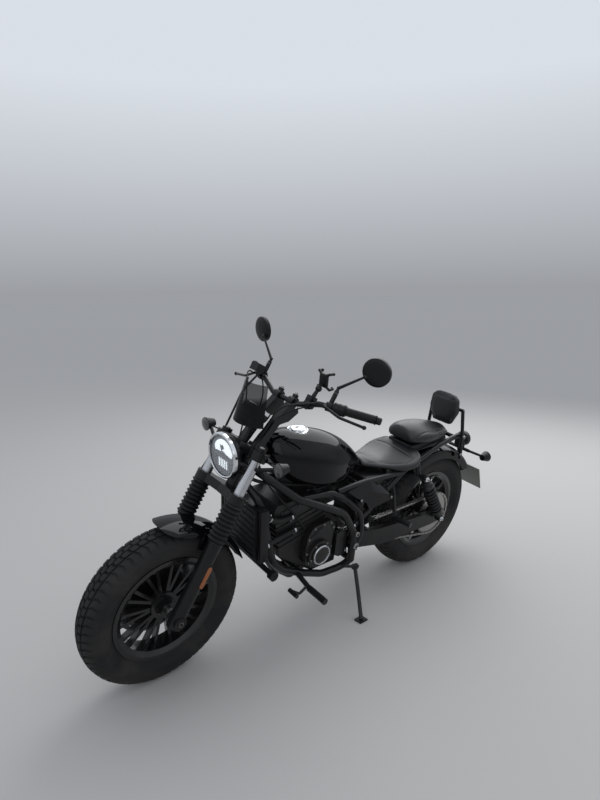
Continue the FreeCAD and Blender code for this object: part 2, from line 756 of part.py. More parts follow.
def controls():
    grip = cylinder(bar_end - grip_run * 2, grip_run, "Dims.grip_radius", "Dims.grip_length")
    weight = cylinder(bar_end - grip_run * (2 + dim.bar_weight_length), grip_run, "Dims.grip_radius - 2",
                      "Dims.bar_weight_length")
    core = cylinder(bar_end, grip_run, "Dims.bar_radius", "Dims.grip_length + 20")
    node("grips", pair(cut(joined(grip, weight), core)), FORK)

    pod = cylinder(bar_end + grip_run * (dim.grip_length - 2), grip_run, "Dims.pod_radius", "Dims.pod_length")
    perch_start = bar_end + grip_run * (dim.grip_length + dim.pod_length + 4)
    perch = cylinder(perch_start, grip_run, "Dims.perch_radius", "Dims.perch_length")
    middle = perch_start + grip_run * (dim.perch_length / 2)
    boss_top = middle + Vector(0, 0, 56)
    boss = rod(middle, boss_top, "9")
    arm = rod(middle, middle + Vector(34, 0, -6), "8")
    bar_hole = cylinder(bar_end, grip_run, "Dims.bar_radius", "Dims.grip_length + 100")
    left = cut(joined(pod, perch, boss, arm), bar_hole)
    reservoir = block(other_side(middle) + Vector(24, -22, 2), 44, 44, 34)
    right = joined(mirrored(left), reservoir)
    node("switch_pods", joined(left, right), FORK)

    levers = []
    # side, bend and tip of the lever
    for side, bend, tip in ((1, Vector(-46, 284, 919), Vector(-88, 372, 926)),
                            (-1, Vector(-38, 262, 906), Vector(-66, 356, 896))):
        root = middle + Vector(38 + dim.lever_radius, 6, -6)
        points = [Vector(point.x, side * point.y, point.z) for point in (root, bend, tip)]
        levers += [tube(points, "Dims.lever_radius", 40), ball(points[-1], "8")]
    node("hand_levers", joined(*levers), FORK)

    stem_foot = raked.multVec(boss_top + UP * dim.seat_gap)
    stem_path = [stem_foot, stem_foot + steering_axis * 26, fork(-48, 270, 1076), fork(-74, 318, 1112)]
    heads = []
    # side, outward turn of the reflecting face
    for side, turn in ((1, -20), (-1, -6)):
        head = fork(-68, side * 330, 1121)
        facing = Rotation(UP, -side * turn).multVec(Vector(-1, 0, 0.08))
        heads.append(tube([Vector(p.x, side * p.y, p.z) for p in stem_path], "Dims.mirror_stem_radius", 60))
        facing.normalize()
        heads.append(cylinder(head - facing * (dim.mirror_depth / 2), facing, "Dims.mirror_radius",
                              "Dims.mirror_depth"))
    node("mirrors", joined(*heads), STEER)


def phone_holder():
    """Open clamp for a telephone on the left of the bar."""
    run = bar_corner - bar_bend_point
    run.normalize()
    site = bar_bend_point + run * 56
    ring = cylinder(site - run * 13, run, "Dims.bar_radius + 6", "26")
    body = block(site + Vector(-22, -18, 8), 40, 36, 34)
    stalk = rod(site + Vector(-2, 0, 30), site + Vector(-12, 0, 96), "8")
    plate = block(site + Vector(-18, -36, 84), 10, 72, 60)
    lips = [block(site + Vector(-34, edge, 98), 20, 8, 34) for edge in (-36, 28)]
    hole = cylinder(bar_bend_point, run, "Dims.bar_radius", "99")
    node("phone_holder", cut(joined(ring, body, stalk, plate, *lips), hole), FORK)


# The front caliper sits above and behind the axle; its own X runs out from the axle
caliper_place = Placement(Vector(dim.fork_offset, 0, 0), Rotation(Vector(0, 1, 0), 225))


def caliper_inner():
    return dim.front_disc_radius - dim.disc_band + 6


def hoses():
    """Brake hose on the right and clutch cable on the left, held by the fork all the way."""
    perch = bar_end + grip_run * (dim.grip_length + dim.pod_length + 16)
    beside = dim.fork_offset - 7
    out = dim.fork_spacing + dim.slider_radius + 18
    end = caliper_place.multVec(Vector(caliper_inner() + 38, -74, -50 - dim.seat_gap))
    before_end = caliper_place.multVec(Vector(caliper_inner() + 38, -74, -100))
    brake = [other_side(perch) + Vector(52, 30, 2), Vector(beside - 18, -out - 4, 850),
             Vector(beside - 18, 4 - out, 600), Vector(beside, -out, 470), Vector(beside, -out, 300),
             Vector(8, -128, 240), before_end, end]
    node("brake_hose", tube(brake, "Dims.hose_radius", 110), FORK)
    foot = dim.upper_clamp_foot + dim.clamp_height + dim.seat_gap
    cable = [perch + Vector(48, -12, -4), Vector(96, 126, 860), Vector(62, 92, 765), Vector(48, 62, foot + 30),
             Vector(48, 62, foot)]
    node("clutch_cable", tube(cable, "Dims.hose_radius - 1", 70), FORK)


# Frame, engine and what they carry
head_low = dim.gaiter_top + dim.clamp_height + dim.head_gap
head_high = dim.upper_clamp_foot - dim.head_gap


def main_run(side):
    return [fork(-14, side * 12, head_high - 40), at(360, side * 88, 790), at(214, side * dim.frame_spread, 672),
            at(-35, side * 140, 548), at(-96, side * dim.pivot_spread, 440), at(-100, side * dim.pivot_spread, 300)]


def down_run(side):
    return [fork(-14, side * 12, head_low + 38), at(384, side * 90, 690), at(314, side * 112, 409),
            at(256, side * 104, 348), at(147, side * 102, 290), at(20, side * 102, 238),
            at(-84, side * 116, 246), at(-100, side * dim.pivot_spread, 302)]


def seat_run(side):
    return [at(200, side * 116, 668), at(30, side * 112, 650), at(-66, side * 120, 594),
            at(-140, side * 138, 520), at(-150, side * 150, 430), at(-112, side * dim.pivot_spread, 350)]


FRAME_RUNS = ((main_run, "Dims.frame_tube_radius"), (down_run, "Dims.down_tube_radius"),
              (seat_run, "Dims.cradle_tube_radius"))


def frame_tubes(grow="", runs=FRAME_RUNS):
    """The frame's bent tubes on both sides, as large as they are or grown to cut a seat for them."""
    return [tube(run(side), radius + grow, dim.frame_bend) for run, radius in runs for side in LEFT_AND_RIGHT]


SEAT_GROWTH = " + Dims.seat_gap"


def cross_tube(x, half, z, radius):
    return rod(at(x, -half, z), at(x, half, z), radius)


# Side stand: its foot stands on the floor of the leaning machine
stand_pivot = at(-160, 134, 227)
stand_foot = leaned.inverse().multVec(Vector(stand_pivot.x + 60, 273, 6))
stand_folded = Vector(-0.98, 0.12, -0.15)
stand_axis = (stand_foot - stand_pivot).cross(stand_folded)
stand_axis.normalize()


def stand_bracket():
    """Pin of the side stand and the two cheeks that hold it to the left tube."""
    spread = dim.stand_radius + 9
    pieces = [rod(stand_pivot - stand_axis * (spread + 6), stand_pivot + stand_axis * (spread + 6), "Dims.stand_pin")]
    root = at(-80, 116, 247)
    for end in LEFT_AND_RIGHT:
        offset = stand_axis * (end * spread)
        pieces.append(rod(stand_pivot + offset, root + offset * 0.85, "Dims.stand_pin - 1"))
    return pieces


def main_frame():
    low = fork(0, 0, head_low)
    length = "(Dims.upper_clamp_foot - Dims.gaiter_top - Dims.clamp_height - 2 * Dims.head_gap)"
    head = cylinder(low, steering_axis, "Dims.head_radius", length)
    bore = cylinder(low - steering_axis * 5, steering_axis, "Dims.stem_radius + Dims.shaft_gap", f"{length} + 10")
    pieces = [head, cross_tube(-100, dim.pivot_spread, 380, "Dims.pivot_radius"),
              cross_tube(-100, dim.pivot_spread, 301, "Dims.cradle_tube_radius"),
              cross_tube(147, 102, 288, "Dims.cradle_tube_radius - 4")]
    pieces += frame_tubes()
    node("main_frame", cut(joined(*pieces, *stand_bracket()), bore), BIKE)


def seat_rail(side, grow=""):
    rail = [at(-10, side * 108, 644), at(-180, side * 112, 652), at(-420, side * 112, 640),
            at(-700, side * 96, 718), at(-866, side * 86, 738)]
    return tube(rail, "Dims.subframe_tube_radius" + grow, dim.frame_bend)


def brace(side, grow=""):
    """Straight tube from the frame above the pivot to the seat rail."""
    return rod(at(-100, side * 134, 448), at(-430, side * 112, 643), "Dims.subframe_tube_radius" + grow)


def subframe():
    sides = []
    for side in LEFT_AND_RIGHT:
        sides.append(joined(
            seat_rail(side),
            brace(side),
            rod(at(-532, side * 106, 668), at(-535, side * 122, 603), "Dims.subframe_tube_radius"),
            rod(at(-535, side * 118, 603), at(-535, side * 147.7, 603), "Dims.stay_radius")))
    # place, half width and height of a cross tube
    crosses = [cross_tube(place, half, height, "Dims.subframe_tube_radius - 2")
               for place, half, height in ((-130, 110, 649), (-396, 110, 642), (-836, 86, 733))]
    rails = cut(joined(*sides, *crosses), *frame_tubes(SEAT_GROWTH, FRAME_RUNS[::2]))
    node("subframe", rails, BIKE)


def engine():
    case = slab("crankcase_body", "XZ_Plane", outline(
        (-66, 268), (70, 264), (136, 308), (258, 396), (266, 424), (20, 486), (-66, 450),
    ), "2 * Dims.crankcase_half_width")
    node("engine_crankcase", case, BIKE)
    cylinders = slab("cylinders_body", "XZ_Plane", outline(
        (20, 486.3), (266, 424.3), (294, 552), (58, 608),
    ), "2 * Dims.cylinder_half_width")
    fins = []
    for fin in range(5):
        rise = 0.12 + 0.19 * fin
        fins.append(slab(f"fin_{fin}", "XZ_Plane", outline(
            (14 + 38 * rise, 486 + 122 * rise), (272 + 28 * rise, 424 + 128 * rise),
            (274 + 28 * rise, 431 + 128 * rise), (16 + 38 * rise, 493 + 122 * rise),
        ), "2 * Dims.cylinder_half_width + 8"))
    node("engine_cylinders", joined(cylinders, *fins), BIKE)
    head = slab("head_body", "XZ_Plane", outline(
        (54, 609.3), (296, 552.3), (318, 618), (300, 652), (96, 660), (70, 640),
    ), "2 * Dims.head_half_width")
    node("engine_head", head, BIKE)


def engine_covers():
    # x, z and for an arc the x, z that it passes through
    plate = slab("left_cover_body", "XZ_Plane", outline(
        (2, 384, 76, 308), (150, 384), (146, 470), (116, 514), (20, 522), (-6, 490),
    ), "Dims.cover_depth", centred=False)
    plate.Placement = Placement(ACROSS * (dim.crankcase_half_width + dim.cover_depth), Rotation())
    centre = at(76, dim.crankcase_half_width, 380)
    boss = cylinder(centre, ACROSS, "Dims.boss_radius", "Dims.cover_depth + 14")
    cap = cylinder(centre, ACROSS, "Dims.cap_radius", "Dims.cover_depth + 24")
    clutch = cylinder(at(30, -dim.crankcase_half_width, 372), -ACROSS, "Dims.cover_radius", "Dims.cover_depth + 6")
    nose = cylinder(at(150, -dim.crankcase_half_width, 394), -ACROSS, "Dims.boss_radius", "Dims.cover_depth - 8")
    sprocket_lid = slab("sprocket_lid_body", "XZ_Plane", outline(
        (-12, 448), (-14, 340), (-40, 326), (-76, 330), (-78, 436), (-50, 456),
    ), "24")
    moved(sprocket_lid, 0, dim.chain_place + dim.chain_width / 2 + 18, 0)
    peg = rod(at(-40, dim.crankcase_half_width, 450), at(-40, dim.chain_place + 20, 450), "6")
    cylinder_room = slab("cylinder_room", "XZ_Plane", outline((0, 490.7), (276, 421.1), (304, 560), (40, 620)),
                         "2 * Dims.cylinder_half_width + 8 + 2 * Dims.seat_gap")
    covers = joined(plate, boss, cap, clutch, nose, sprocket_lid, peg)
    node("engine_covers", cut(covers, cylinder_room), BIKE)


def radiator():
    core = block(Vector(-dim.radiator_depth / 2, -dim.radiator_width / 2, 0), dim.radiator_depth,
                 dim.radiator_width, dim.radiator_height)
    core.Placement = Placement(at(382, 0, 452), Rotation(Vector(0, 1, 0), 3)) * core.Placement
    node("radiator", cut(core, *frame_tubes(SEAT_GROWTH, FRAME_RUNS[1:2])), BIKE)


def exhaust():
    pieces = []
    for side in LEFT_AND_RIGHT:
        pieces.append(tube([at(312, side * 45, 596), at(346, side * 47, 580), at(316, side * 50, 420),
                            at(258, side * 44, 330), at(140, side * 36 - 14, 232), at(40, side * 20 - 40, 212)],
                           "Dims.header_radius", 50))
    collector = [at(60, -40, 214), at(-90, -60, 208), at(-190, -160, 214), at(-270, -184, 236)]
    pieces.append(tube(collector, "Dims.collector_radius", 60))
    head = slab("port_tool", "XZ_Plane", outline(
        (54, 609), (296, 552), (318.3, 618), (300, 652), (96, 660), (70, 640),
    ), "2 * Dims.head_half_width")
    node("exhaust_pipes", cut(joined(*pieces), head), BIKE)
    run = collector[-1] - collector[-2]
    run.normalize()
    start = collector[-1] + run * dim.seat_gap
    elbow = start + run * 34
    along = at(-742, -216, 264) - elbow
    length = along.Length
    along.normalize()
    inlet = tube([start, elbow, elbow + along * 70], "Dims.collector_radius + 4", 60)
    can = turned((
        ("0", "0"), ("Dims.collector_radius + 7", "0"), ("Dims.muffler_radius", "46"),
        ("Dims.muffler_radius", f"{length - 46:.2f}"), ("Dims.muffler_radius - 16", f"{length - 14:.2f}"),
        ("Dims.muffler_radius - 24", f"{length - 14:.2f}"), ("Dims.muffler_radius - 24", f"{length - 90:.2f}"),
        ("0", f"{length - 90:.2f}"),
    ))
    can.Placement = aimed(elbow + along * 14, along)
    node("muffler", joined(inlet, can), BIKE)


def saddles():
    """Tank and seats: lofts of pillow sections."""
    # place along X, half width, underside, shoulder, top
    tank_stations = (
        (318, 56, 850, 886, 914), (262, 96, 770, 880, 934), (150, 132, 712, 866, 926),
        (10, 128, 678, 812, 890), (-110, 88, 668, 770, 824), (-198, 48, 700, 728, 742),
    )
    seat_stations = (
        (-206, 52, 692, 718, 734), (-300, 96, 674, 692, 702), (-400, 142, 658, 684, 694),
        (-476, 158, 662, 702, 716), (-528, 120, 690, 734, 744),
    )
    pad_stations = (
        (-492, 72, 754, 796, 820), (-560, 106, 748, 800, 828), (-700, 102, 744, 788, 812),
        (-812, 62, 742, 764, 782),
    )
    cap_place = Placement(at(156, 0, 917), Rotation(UP, Vector(0.1, 0, 1)))
    pocket = turned((("0", "-14"), ("37", "-14"), ("37", "60"), ("0", "60")))
    pocket.Placement = cap_place
    node("fuel_tank", cut(lofted(tank_stations), pocket, *frame_tubes(SEAT_GROWTH, FRAME_RUNS[::2])), BIKE)
    cap = turned((("0", "-13.7"), ("36.5", "-13.7"), ("36.5", "3"), ("30", "9"), ("0", "9")))
    node("filler_cap", cap, BIKE, cap_place)
    rails = joined(*[seat_rail(side, SEAT_GROWTH) for side in LEFT_AND_RIGHT])
    cross = joined(cross_tube(-396, 110, 642, "Dims.subframe_tube_radius"), rails)
    node("rider_seat", cut(lofted(seat_stations), cross), BIKE)
    rails = joined(*[seat_rail(side, SEAT_GROWTH) for side in LEFT_AND_RIGHT])
    node("pillion_seat", cut(lofted(pad_stations), rails), BIKE)


def side_covers():
    """Box-like covers under the seat, wide at the bike and narrower outside."""
    wires = []
    for side_place, sites in ((124, ((-60, 634), (-188, 660), (-310, 596), (-344, 546), (-172, 526), (-140, 578))),
                              (156, ((-96, 606), (-188, 618), (-300, 576), (-330, 548), (-178, 530), (-150, 574)))):
        points = [at(x, side_place, z) for x, z in sites]
        wires.append(Part.makePolygon(points + points[:1]))
    cover = document.addObject("Part::Feature", "cover")
    cover.Shape = Part.makeLoft(wires, True, True)
    node("side_covers", pair(cut(cover, brace(1, SEAT_GROWTH), seat_rail(1, SEAT_GROWTH))), BIKE)


# Chain drive
def pitch_radius(teeth):
    return dim.chain_pitch / (2 * math.sin(math.pi / teeth))


front_sprocket_centre = at(-62, dim.chain_place, 384)


def chain_path(front_radius, rear_radius):
    """Corners of the belt line round both sprockets, in order, with each arc's middle."""
    front = front_sprocket_centre
    rear = Vector(rear_axle_point.x, dim.chain_place, rear_axle_point.z)
    along = rear - front
    distance = along.Length
    along.normalize()
    lift = Vector(along.z, 0, -along.x)
    slope = math.asin((rear_radius - front_radius) / distance)
    upper = lift * math.cos(slope) - along * math.sin(slope)
    lower = lift * -math.cos(slope) - along * math.sin(slope)
    return [front + upper * front_radius, rear + upper * rear_radius, rear + along * rear_radius,
            rear + lower * rear_radius, front + lower * front_radius, front - along * front_radius]


def chain():
    """Roller chain as one loop, waisted between its rollers on both edges."""
    front_radius = pitch_radius(dim.front_teeth)
    rear_radius = pitch_radius(dim.rear_teeth)
    corners = chain_path(front_radius, rear_radius)
    line = Part.Wire([
        Part.LineSegment(corners[0], corners[1]).toShape(),
        Part.Arc(corners[1], corners[2], corners[3]).toShape(),
        Part.LineSegment(corners[3], corners[4]).toShape(),
        Part.Arc(corners[4], corners[5], corners[0]).toShape(),
    ])
    links = 2 * round(line.Length / dim.chain_pitch / 2)
    points = line.discretize(Number=2 * links + 1)[:-1]
    edges = {1: [], -1: []}
    for index, point in enumerate(points):
        ahead = points[(index + 1) % len(points)] - points[index - 1]
        ahead.normalize()
        normal = Vector(ahead.z, 0, -ahead.x)
        half = dim.chain_height / 2 if index % 2 else dim.chain_height / 2 - 2.5
        for edge, found in edges.items():
            found.append(point + normal * edge * half - ACROSS * dim.chain_width / 2)
    faces = [Part.Face(Part.makePolygon(found + found[:1])) for found in edges.values()]
    faces.sort(key=lambda face: face.Area)
    loop = document.addObject("Part::Feature", "chain_loop")
    loop.Shape = faces[1].cut(faces[0]).extrude(ACROSS * dim.chain_width)
    node("chain", loop, BIKE)


def rear_sprocket():
    tip = f"{pitch_radius(dim.rear_teeth) - dim.chain_height / 2:.3f} - 0.5"
    near = "(Dims.chain_place - Dims.sprocket_thickness / 2)"
    far = "(Dims.chain_place + Dims.sprocket_thickness / 2)"
    inner = "Dims.hub_flange_radius - 16"
    ring = spun("rear_sprocket_body", ((near, inner), (near, tip), (far, tip), (far, inner)))
    carrier = spun("sprocket_carrier_body", (
        ("Dims.rear_hub_width / 2", "Dims.axle_collar_radius + 6"),
        ("Dims.rear_hub_width / 2", "Dims.hub_flange_radius + 12"),
        (near, "Dims.hub_flange_radius + 12"), (near, "Dims.axle_collar_radius + 6"),
    ))
    node("rear_sprocket", joined(ring, carrier), BIKE, Placement(rear_axle_point, Rotation()))


# Rear end
def swingarm():
    pieces = []
    for side in LEFT_AND_RIGHT:
        arm = slab("arm_body", "XZ_Plane", outline(
            (-84, 408), (-112, 420), (-300, 386), (-690, 356), (-784, 352), (-784, 294),
            (-690, 288), (-330, 292), (-112, 342), (-84, 356),
        ), "Dims.swingarm_thickness")
        pieces.append(moved(arm, 0, side * dim.swingarm_spread, 0))
    pieces.append(cross_tube(-236, dim.swingarm_spread, 370, "Dims.muffler_radius / 2 - 4"))
    spread = dim.swingarm_spread + dim.swingarm_thickness
    axle_hole = rod(rear_axle_point - ACROSS * spread, rear_axle_point + ACROSS * spread, "Dims.axle_radius")
    pivot_hole = cross_tube(-100, spread, 380, "Dims.pivot_radius + Dims.seat_gap")
    node("swingarm", cut(joined(*pieces), axle_hole, pivot_hole), BIKE)
    half = dim.swingarm_spread + dim.swingarm_thickness / 2 + dim.axle_overhang + 4
    axle = rod(rear_axle_point - ACROSS * half, rear_axle_point + ACROSS * half, "Dims.axle_radius")
    bore = rod(rear_axle_point - ACROSS * (half + 1), rear_axle_point + ACROSS * (half + 1), "Dims.axle_bore")
    node("rear_axle", cut(axle, bore), BIKE)


def rear_shocks():
    """Twin dampers outside the arms, each an eye, a coil spring as stacked rings and an eye."""
    coils = int(dim.shock_coils)
    low = at(-716, 163, 336)
    top = at(-535, 163, 603)
    run = top - low
    stack = coils * dim.shock_pitch
    foot = (run.Length - stack) / 2
    corners = [("0", "12"), ("14", "12"), ("14", f"{foot - 8}"), ("Dims.shock_radius - 6", f"{foot - 8}"),
               ("Dims.shock_radius - 6", f"{foot}")]
    for coil in range(coils):
        corners.append(("Dims.shock_radius - 10", f"{foot} + ({coil} + 0.25) * Dims.shock_pitch"))
        corners.append(("Dims.shock_radius - 4", f"{foot} + ({coil} + 0.55) * Dims.shock_pitch"))
        corners.append(("Dims.shock_radius - 10", f"{foot} + ({coil} + 0.85) * Dims.shock_pitch"))
    corners += [("Dims.shock_radius - 6", f"{foot + stack}"), ("Dims.shock_radius - 6", f"{foot + stack + 10}"),
                ("16", f"{foot + stack + 10}"), ("16", f"{run.Length - 10}"), ("0", f"{run.Length - 10}")]
    damper = turned(corners)
    damper.Placement = aimed(low, run)
    eyes = [cylinder(place - ACROSS * 15, ACROSS, "18", "30") for place in (low, top)]
    arm_face = dim.swingarm_spread + dim.swingarm_thickness / 2 + dim.seat_gap
    stud = rod(Vector(low.x, arm_face, low.z), low, "9")
    node("rear_shocks", pair(joined(damper, stud, *eyes)), BIKE)


def backrest():
    stays = []
    for side in LEFT_AND_RIGHT:
        stays.append(tube([at(-884, side * 110, 612), at(-866, side * 110, 738), at(-852, side * 94, 880)],
                          "Dims.stay_radius", 120))
        foot = rod(at(-866, side * 99.4, 738), at(-866, side * 112, 738), "Dims.stay_radius - 1")
        stays.append(foot)
    stays.append(cross_tube(-852, 94, 876, "Dims.stay_radius"))
    node("backrest_stays", joined(*stays), BIKE)
    pad = slab("backrest_body", "YZ_Plane", (
        ("-56", "790"), ("56", "790"), ("88", "862"), ("80", "926"), ("54", "950"),
        ("-54", "950"), ("-80", "926"), ("-88", "862"),
    ), "Dims.backrest_depth", centred=False)
    node("backrest_pad", pad, BIKE,
         Placement(at(-852 + dim.stay_radius + dim.seat_gap, 0, 0), Rotation()))


def tail():
    lamp = turned((("0", "0"), ("34", "0"), ("40", "10"), ("40", "28"), ("32", "38"), ("0", "38")))
    node("tail_lamp", lamp, BIKE, aimed(at(-1036, 0, 652) - Vector(dim.seat_gap, 0, 0), Vector(-1, 0, 0)))
    bracket = [rod(at(-1031, -64, 604), at(-1031, 64, 604), "9"),
               rod(at(-1031, 0, 604), at(-1098, 0, 452), "12"),
               block(at(-1036, -30, 600), 12, 60, 70)]
    for side in LEFT_AND_RIGHT:
        lamp_place = at(-1051, side * 150, 599)
        bracket.append(rod(at(-1031, side * 60, 604), lamp_place, "Dims.indicator_stalk_radius"))
        bracket.append(cone(lamp_place + Vector(20, 0, 0), lamp_place - Vector(20, 0, 0),
                            "Dims.indicator_radius * 0.6", "Dims.indicator_radius"))
    turn = Placement(at(-1150, 0, 366), Rotation(Vector(0, 1, 0), 22))
    clear = block(Vector(-dim.plate_thickness - dim.seat_gap, -dim.plate_width / 2, -20), 60,
                  dim.plate_width, dim.plate_height + 60)
    clear.Placement = turn * Placement(Vector(-60, 0, 0), Rotation()) * clear.Placement
    node("rear_indicators", cut(joined(*bracket), clear, rear_shell_tool()), BIKE)
    plate = block(Vector(-dim.plate_thickness, -dim.plate_width / 2, 0), dim.plate_thickness,
                  dim.plate_width, dim.plate_height)
    plate.Placement = turn * plate.Placement
    node("number_plate", plate, BIKE)


def rear_shell_tool():
    """Round block a seat gap larger than the rear fender, to keep brackets out of it."""
    width = dim.rear_tyre_width + 2 * dim.fender_side_gap + 20
    return cylinder(rear_axle_point - ACROSS * width / 2, ACROSS,
                    "Dims.rear_tyre_radius + Dims.rear_fender_gap + Dims.seat_gap", f"{width}")


def peg_bracket(side, grow=""):
    return rod(at(176, side * 118.5, 304), at(176, side * 206, 284), "Dims.peg_radius - 3" + grow)


def pegs():
    pieces = []
    for side in LEFT_AND_RIGHT:
        pieces.append(peg_bracket(side))
        pieces.append(rod(at(176, side * 198, 284), at(176, side * 300, 284), "Dims.peg_radius"))
        pieces.append(rod(at(-352, side * 138, 562), at(-372, side * 150, 428), "8"))
        pieces.append(rod(at(-372, side * 142, 428), at(-388, side * 236, 428), "Dims.peg_radius - 1"))
        pieces.append(rod(at(-352, side * 122, 600), at(-352, side * 140, 558), "8"))
    tools = [brace(side, SEAT_GROWTH) for side in LEFT_AND_RIGHT]
    node("footpegs", cut(joined(*pieces), *tools, *frame_tubes(SEAT_GROWTH, FRAME_RUNS[1:2])), BIKE)


def foot_controls():
    guard = [rod(at(344, -160, 386), at(344, 160, 386), "Dims.guard_radius")]
    guard += [cylinder(at(344, side * 146, 386), ACROSS * side, "20", "24") for side in LEFT_AND_RIGHT]
    node("guard_bar", cut(joined(*guard), *frame_tubes(SEAT_GROWTH, FRAME_RUNS[1:2])), BIKE)
    levers = []
    for side in LEFT_AND_RIGHT:
        levers.append(tube([at(180, side * 186, 287), at(240, side * 212, 292), at(296, side * 216, 334)],
                           "6", 30))
        levers.append(rod(at(296, side * 212, 334), at(296, side * 262, 334), "9"))
    seats = [peg_bracket(side, SEAT_GROWTH) for side in LEFT_AND_RIGHT]
    node("foot_controls", cut(joined(*levers), *seats), BIKE)


def calipers():
    """Brake calipers straddling the discs, each with a slot for its disc."""
    inner = caliper_inner()
    body = block(Vector(inner, -94, -50), 46, 50, 100)
    slot = block(Vector(0, -dim.front_disc_place - dim.disc_thickness / 2 - dim.disc_slot_gap, -60),
                 dim.front_disc_radius + 3, dim.disc_thickness + 2 * dim.disc_slot_gap, 120)
    bracket = block(Vector(inner, -94, -115), 30, 8, 70)
    for piece in (body, slot, bracket):
        piece.Placement = caliper_place * piece.Placement
    leg = cylinder(leg_point(-1), UP, "Dims.slider_radius + Dims.seat_gap", "Dims.slider_top")
    node("front_caliper", cut(joined(body, bracket), slot, leg), FORK)
    inner = dim.rear_disc_radius - dim.disc_band + 6
    place = -dim.swingarm_spread + dim.swingarm_thickness / 2 + dim.seat_gap
    rear = block(rear_axle_point + Vector(inner, place, 30), 60, 46, 74)
    slot = block(rear_axle_point - Vector(0, dim.rear_disc_place + dim.disc_thickness / 2 + dim.disc_slot_gap, 0),
                 dim.rear_disc_radius + 3, dim.disc_thickness + 2 * dim.disc_slot_gap, 200)
    node("rear_caliper", cut(rear, slot), BIKE)


def side_stand():
    bend = stand_pivot + (stand_foot - stand_pivot) * 0.5 + Vector(0, 0, 5)
    leg = tube([stand_pivot, bend, stand_foot], "Dims.stand_radius", 400)
    hub = cylinder(stand_pivot - stand_axis * 12, stand_axis, "Dims.stand_radius + 5", "24")
    sole = block(leaned.multVec(stand_foot) + Vector(-24, -22, -7), 46, 40, 6)
    sole.Placement = leaned.inverse() * sole.Placement
    bore = cylinder(stand_pivot - stand_axis * 30, stand_axis, "Dims.stand_pin + Dims.shaft_gap", "60")
    node("side_stand", cut(joined(leg, hub, sole), bore), BIKE)


wheels()
sliders()
gaiters()
fork_clamps()
front_axle()
fenders()
front_lamps()
dash()
handlebar()
controls()
phone_holder()
hoses()
main_frame()
subframe()
engine()
engine_covers()
radiator()
exhaust()
saddles()
side_covers()
chain()
rear_sprocket()
swingarm()
rear_shocks()
backrest()
tail()
pegs()
foot_controls()
calipers()
side_stand()
document.recompute()


def reach(shapes):
    """Smallest box round the shapes, measured on a fine mesh."""
    box = FreeCAD.BoundBox()
    for shape in shapes:
        for point in shape.tessellate(0.2)[0]:
            box.add(point)
    return box


def check():
    """Stops before anything is written if an object failed or a shape is not sound."""
    failed = [item.Label for item in document.Objects if "Invalid" in item.State or "Error" in item.State]
    if failed:
        raise RuntimeError(f"failed: {failed}")
    for name, feature, _frame, _place in NODES:
        if feature.Shape.isNull() or not feature.Shape.isValid():
            raise RuntimeError(f"{name} has no sound shape")


for _name, feature, frame, place in NODES:
    feature.Placement = frame * place * feature.Placement
document.recompute()
check()

box = reach([feature.Shape for _name, feature, _frame, _place in NODES])
shift = Vector(-(box.XMin + box.XMax) / 2, -(box.YMin + box.YMax) / 2, -box.ZMin)
for _name, feature, _frame, _place in NODES:
    feature.Placement = Placement(shift, Rotation()) * feature.Placement
document.recompute()
check()

os.makedirs("parts", exist_ok=True)
for name, feature, _frame, _place in NODES:
    feature.Shape.exportStep(f"parts/{name}.step")


def told(name, place, direction):
    """Prints one joint's point and direction in the finished frame."""
    point = place + shift
    print(f"{name} point {point.x:.3f} {point.y:.3f} {point.z:.3f}"
          f" axis {direction.x:.6f} {direction.y:.6f} {direction.z:.6f}")


told("rear_wheel", BIKE.multVec(rear_axle_point), BIKE.Rotation.multVec(Vector(0, 1, 0)))
told("front_wheel", STEER.multVec(front_axle_point), STEER.Rotation.multVec(Vector(0, 1, 0)))
told("steering", FORK.multVec(Vector(0, 0, dim.upper_clamp_foot)), FORK.Rotation.multVec(Vector(0, 0, 1)))
told("side_stand", BIKE.multVec(stand_pivot), BIKE.Rotation.multVec(stand_axis))
told("front_axle_bore", STEER.multVec(front_axle_point), STEER.Rotation.multVec(Vector(0, 1, 0)))
told("rear_axle_bore", BIKE.multVec(rear_axle_point), BIKE.Rotation.multVec(Vector(0, 1, 0)))
print("nodes", len(NODES), "box", box.XLength, box.YLength, box.ZLength, "shift", shift)
for name, feature, _frame, _place in NODES:
    print(name, len(feature.Shape.Solids), round(feature.Shape.Volume / 1000), "cm3")
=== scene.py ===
import json
import logging
import math
from dataclasses import dataclass, replace
from enum import Enum
from typing import Callable, Iterable, Sequence, Union

import bmesh
import bpy
from mathutils import Matrix, Vector


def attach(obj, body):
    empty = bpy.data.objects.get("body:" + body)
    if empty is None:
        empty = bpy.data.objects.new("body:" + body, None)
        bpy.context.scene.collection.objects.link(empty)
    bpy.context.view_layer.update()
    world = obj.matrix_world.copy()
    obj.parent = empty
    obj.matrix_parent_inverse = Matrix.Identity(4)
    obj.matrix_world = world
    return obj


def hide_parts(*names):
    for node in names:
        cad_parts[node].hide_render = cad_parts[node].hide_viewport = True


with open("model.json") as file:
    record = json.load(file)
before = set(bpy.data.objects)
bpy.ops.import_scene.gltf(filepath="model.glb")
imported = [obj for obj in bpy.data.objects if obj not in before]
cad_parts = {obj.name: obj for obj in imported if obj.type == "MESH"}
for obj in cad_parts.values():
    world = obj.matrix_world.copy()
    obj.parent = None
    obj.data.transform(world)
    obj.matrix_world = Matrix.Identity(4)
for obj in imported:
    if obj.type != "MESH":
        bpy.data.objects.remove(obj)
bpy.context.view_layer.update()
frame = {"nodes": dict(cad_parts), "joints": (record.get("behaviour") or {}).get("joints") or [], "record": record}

LOG = logging.getLogger("cruiser")
Colour = tuple[float, float, float]
Point = tuple[float, float, float]
Outline = Sequence[tuple[float, float]]
Piece = bpy.types.Object
Operand = Union["Wire", float]

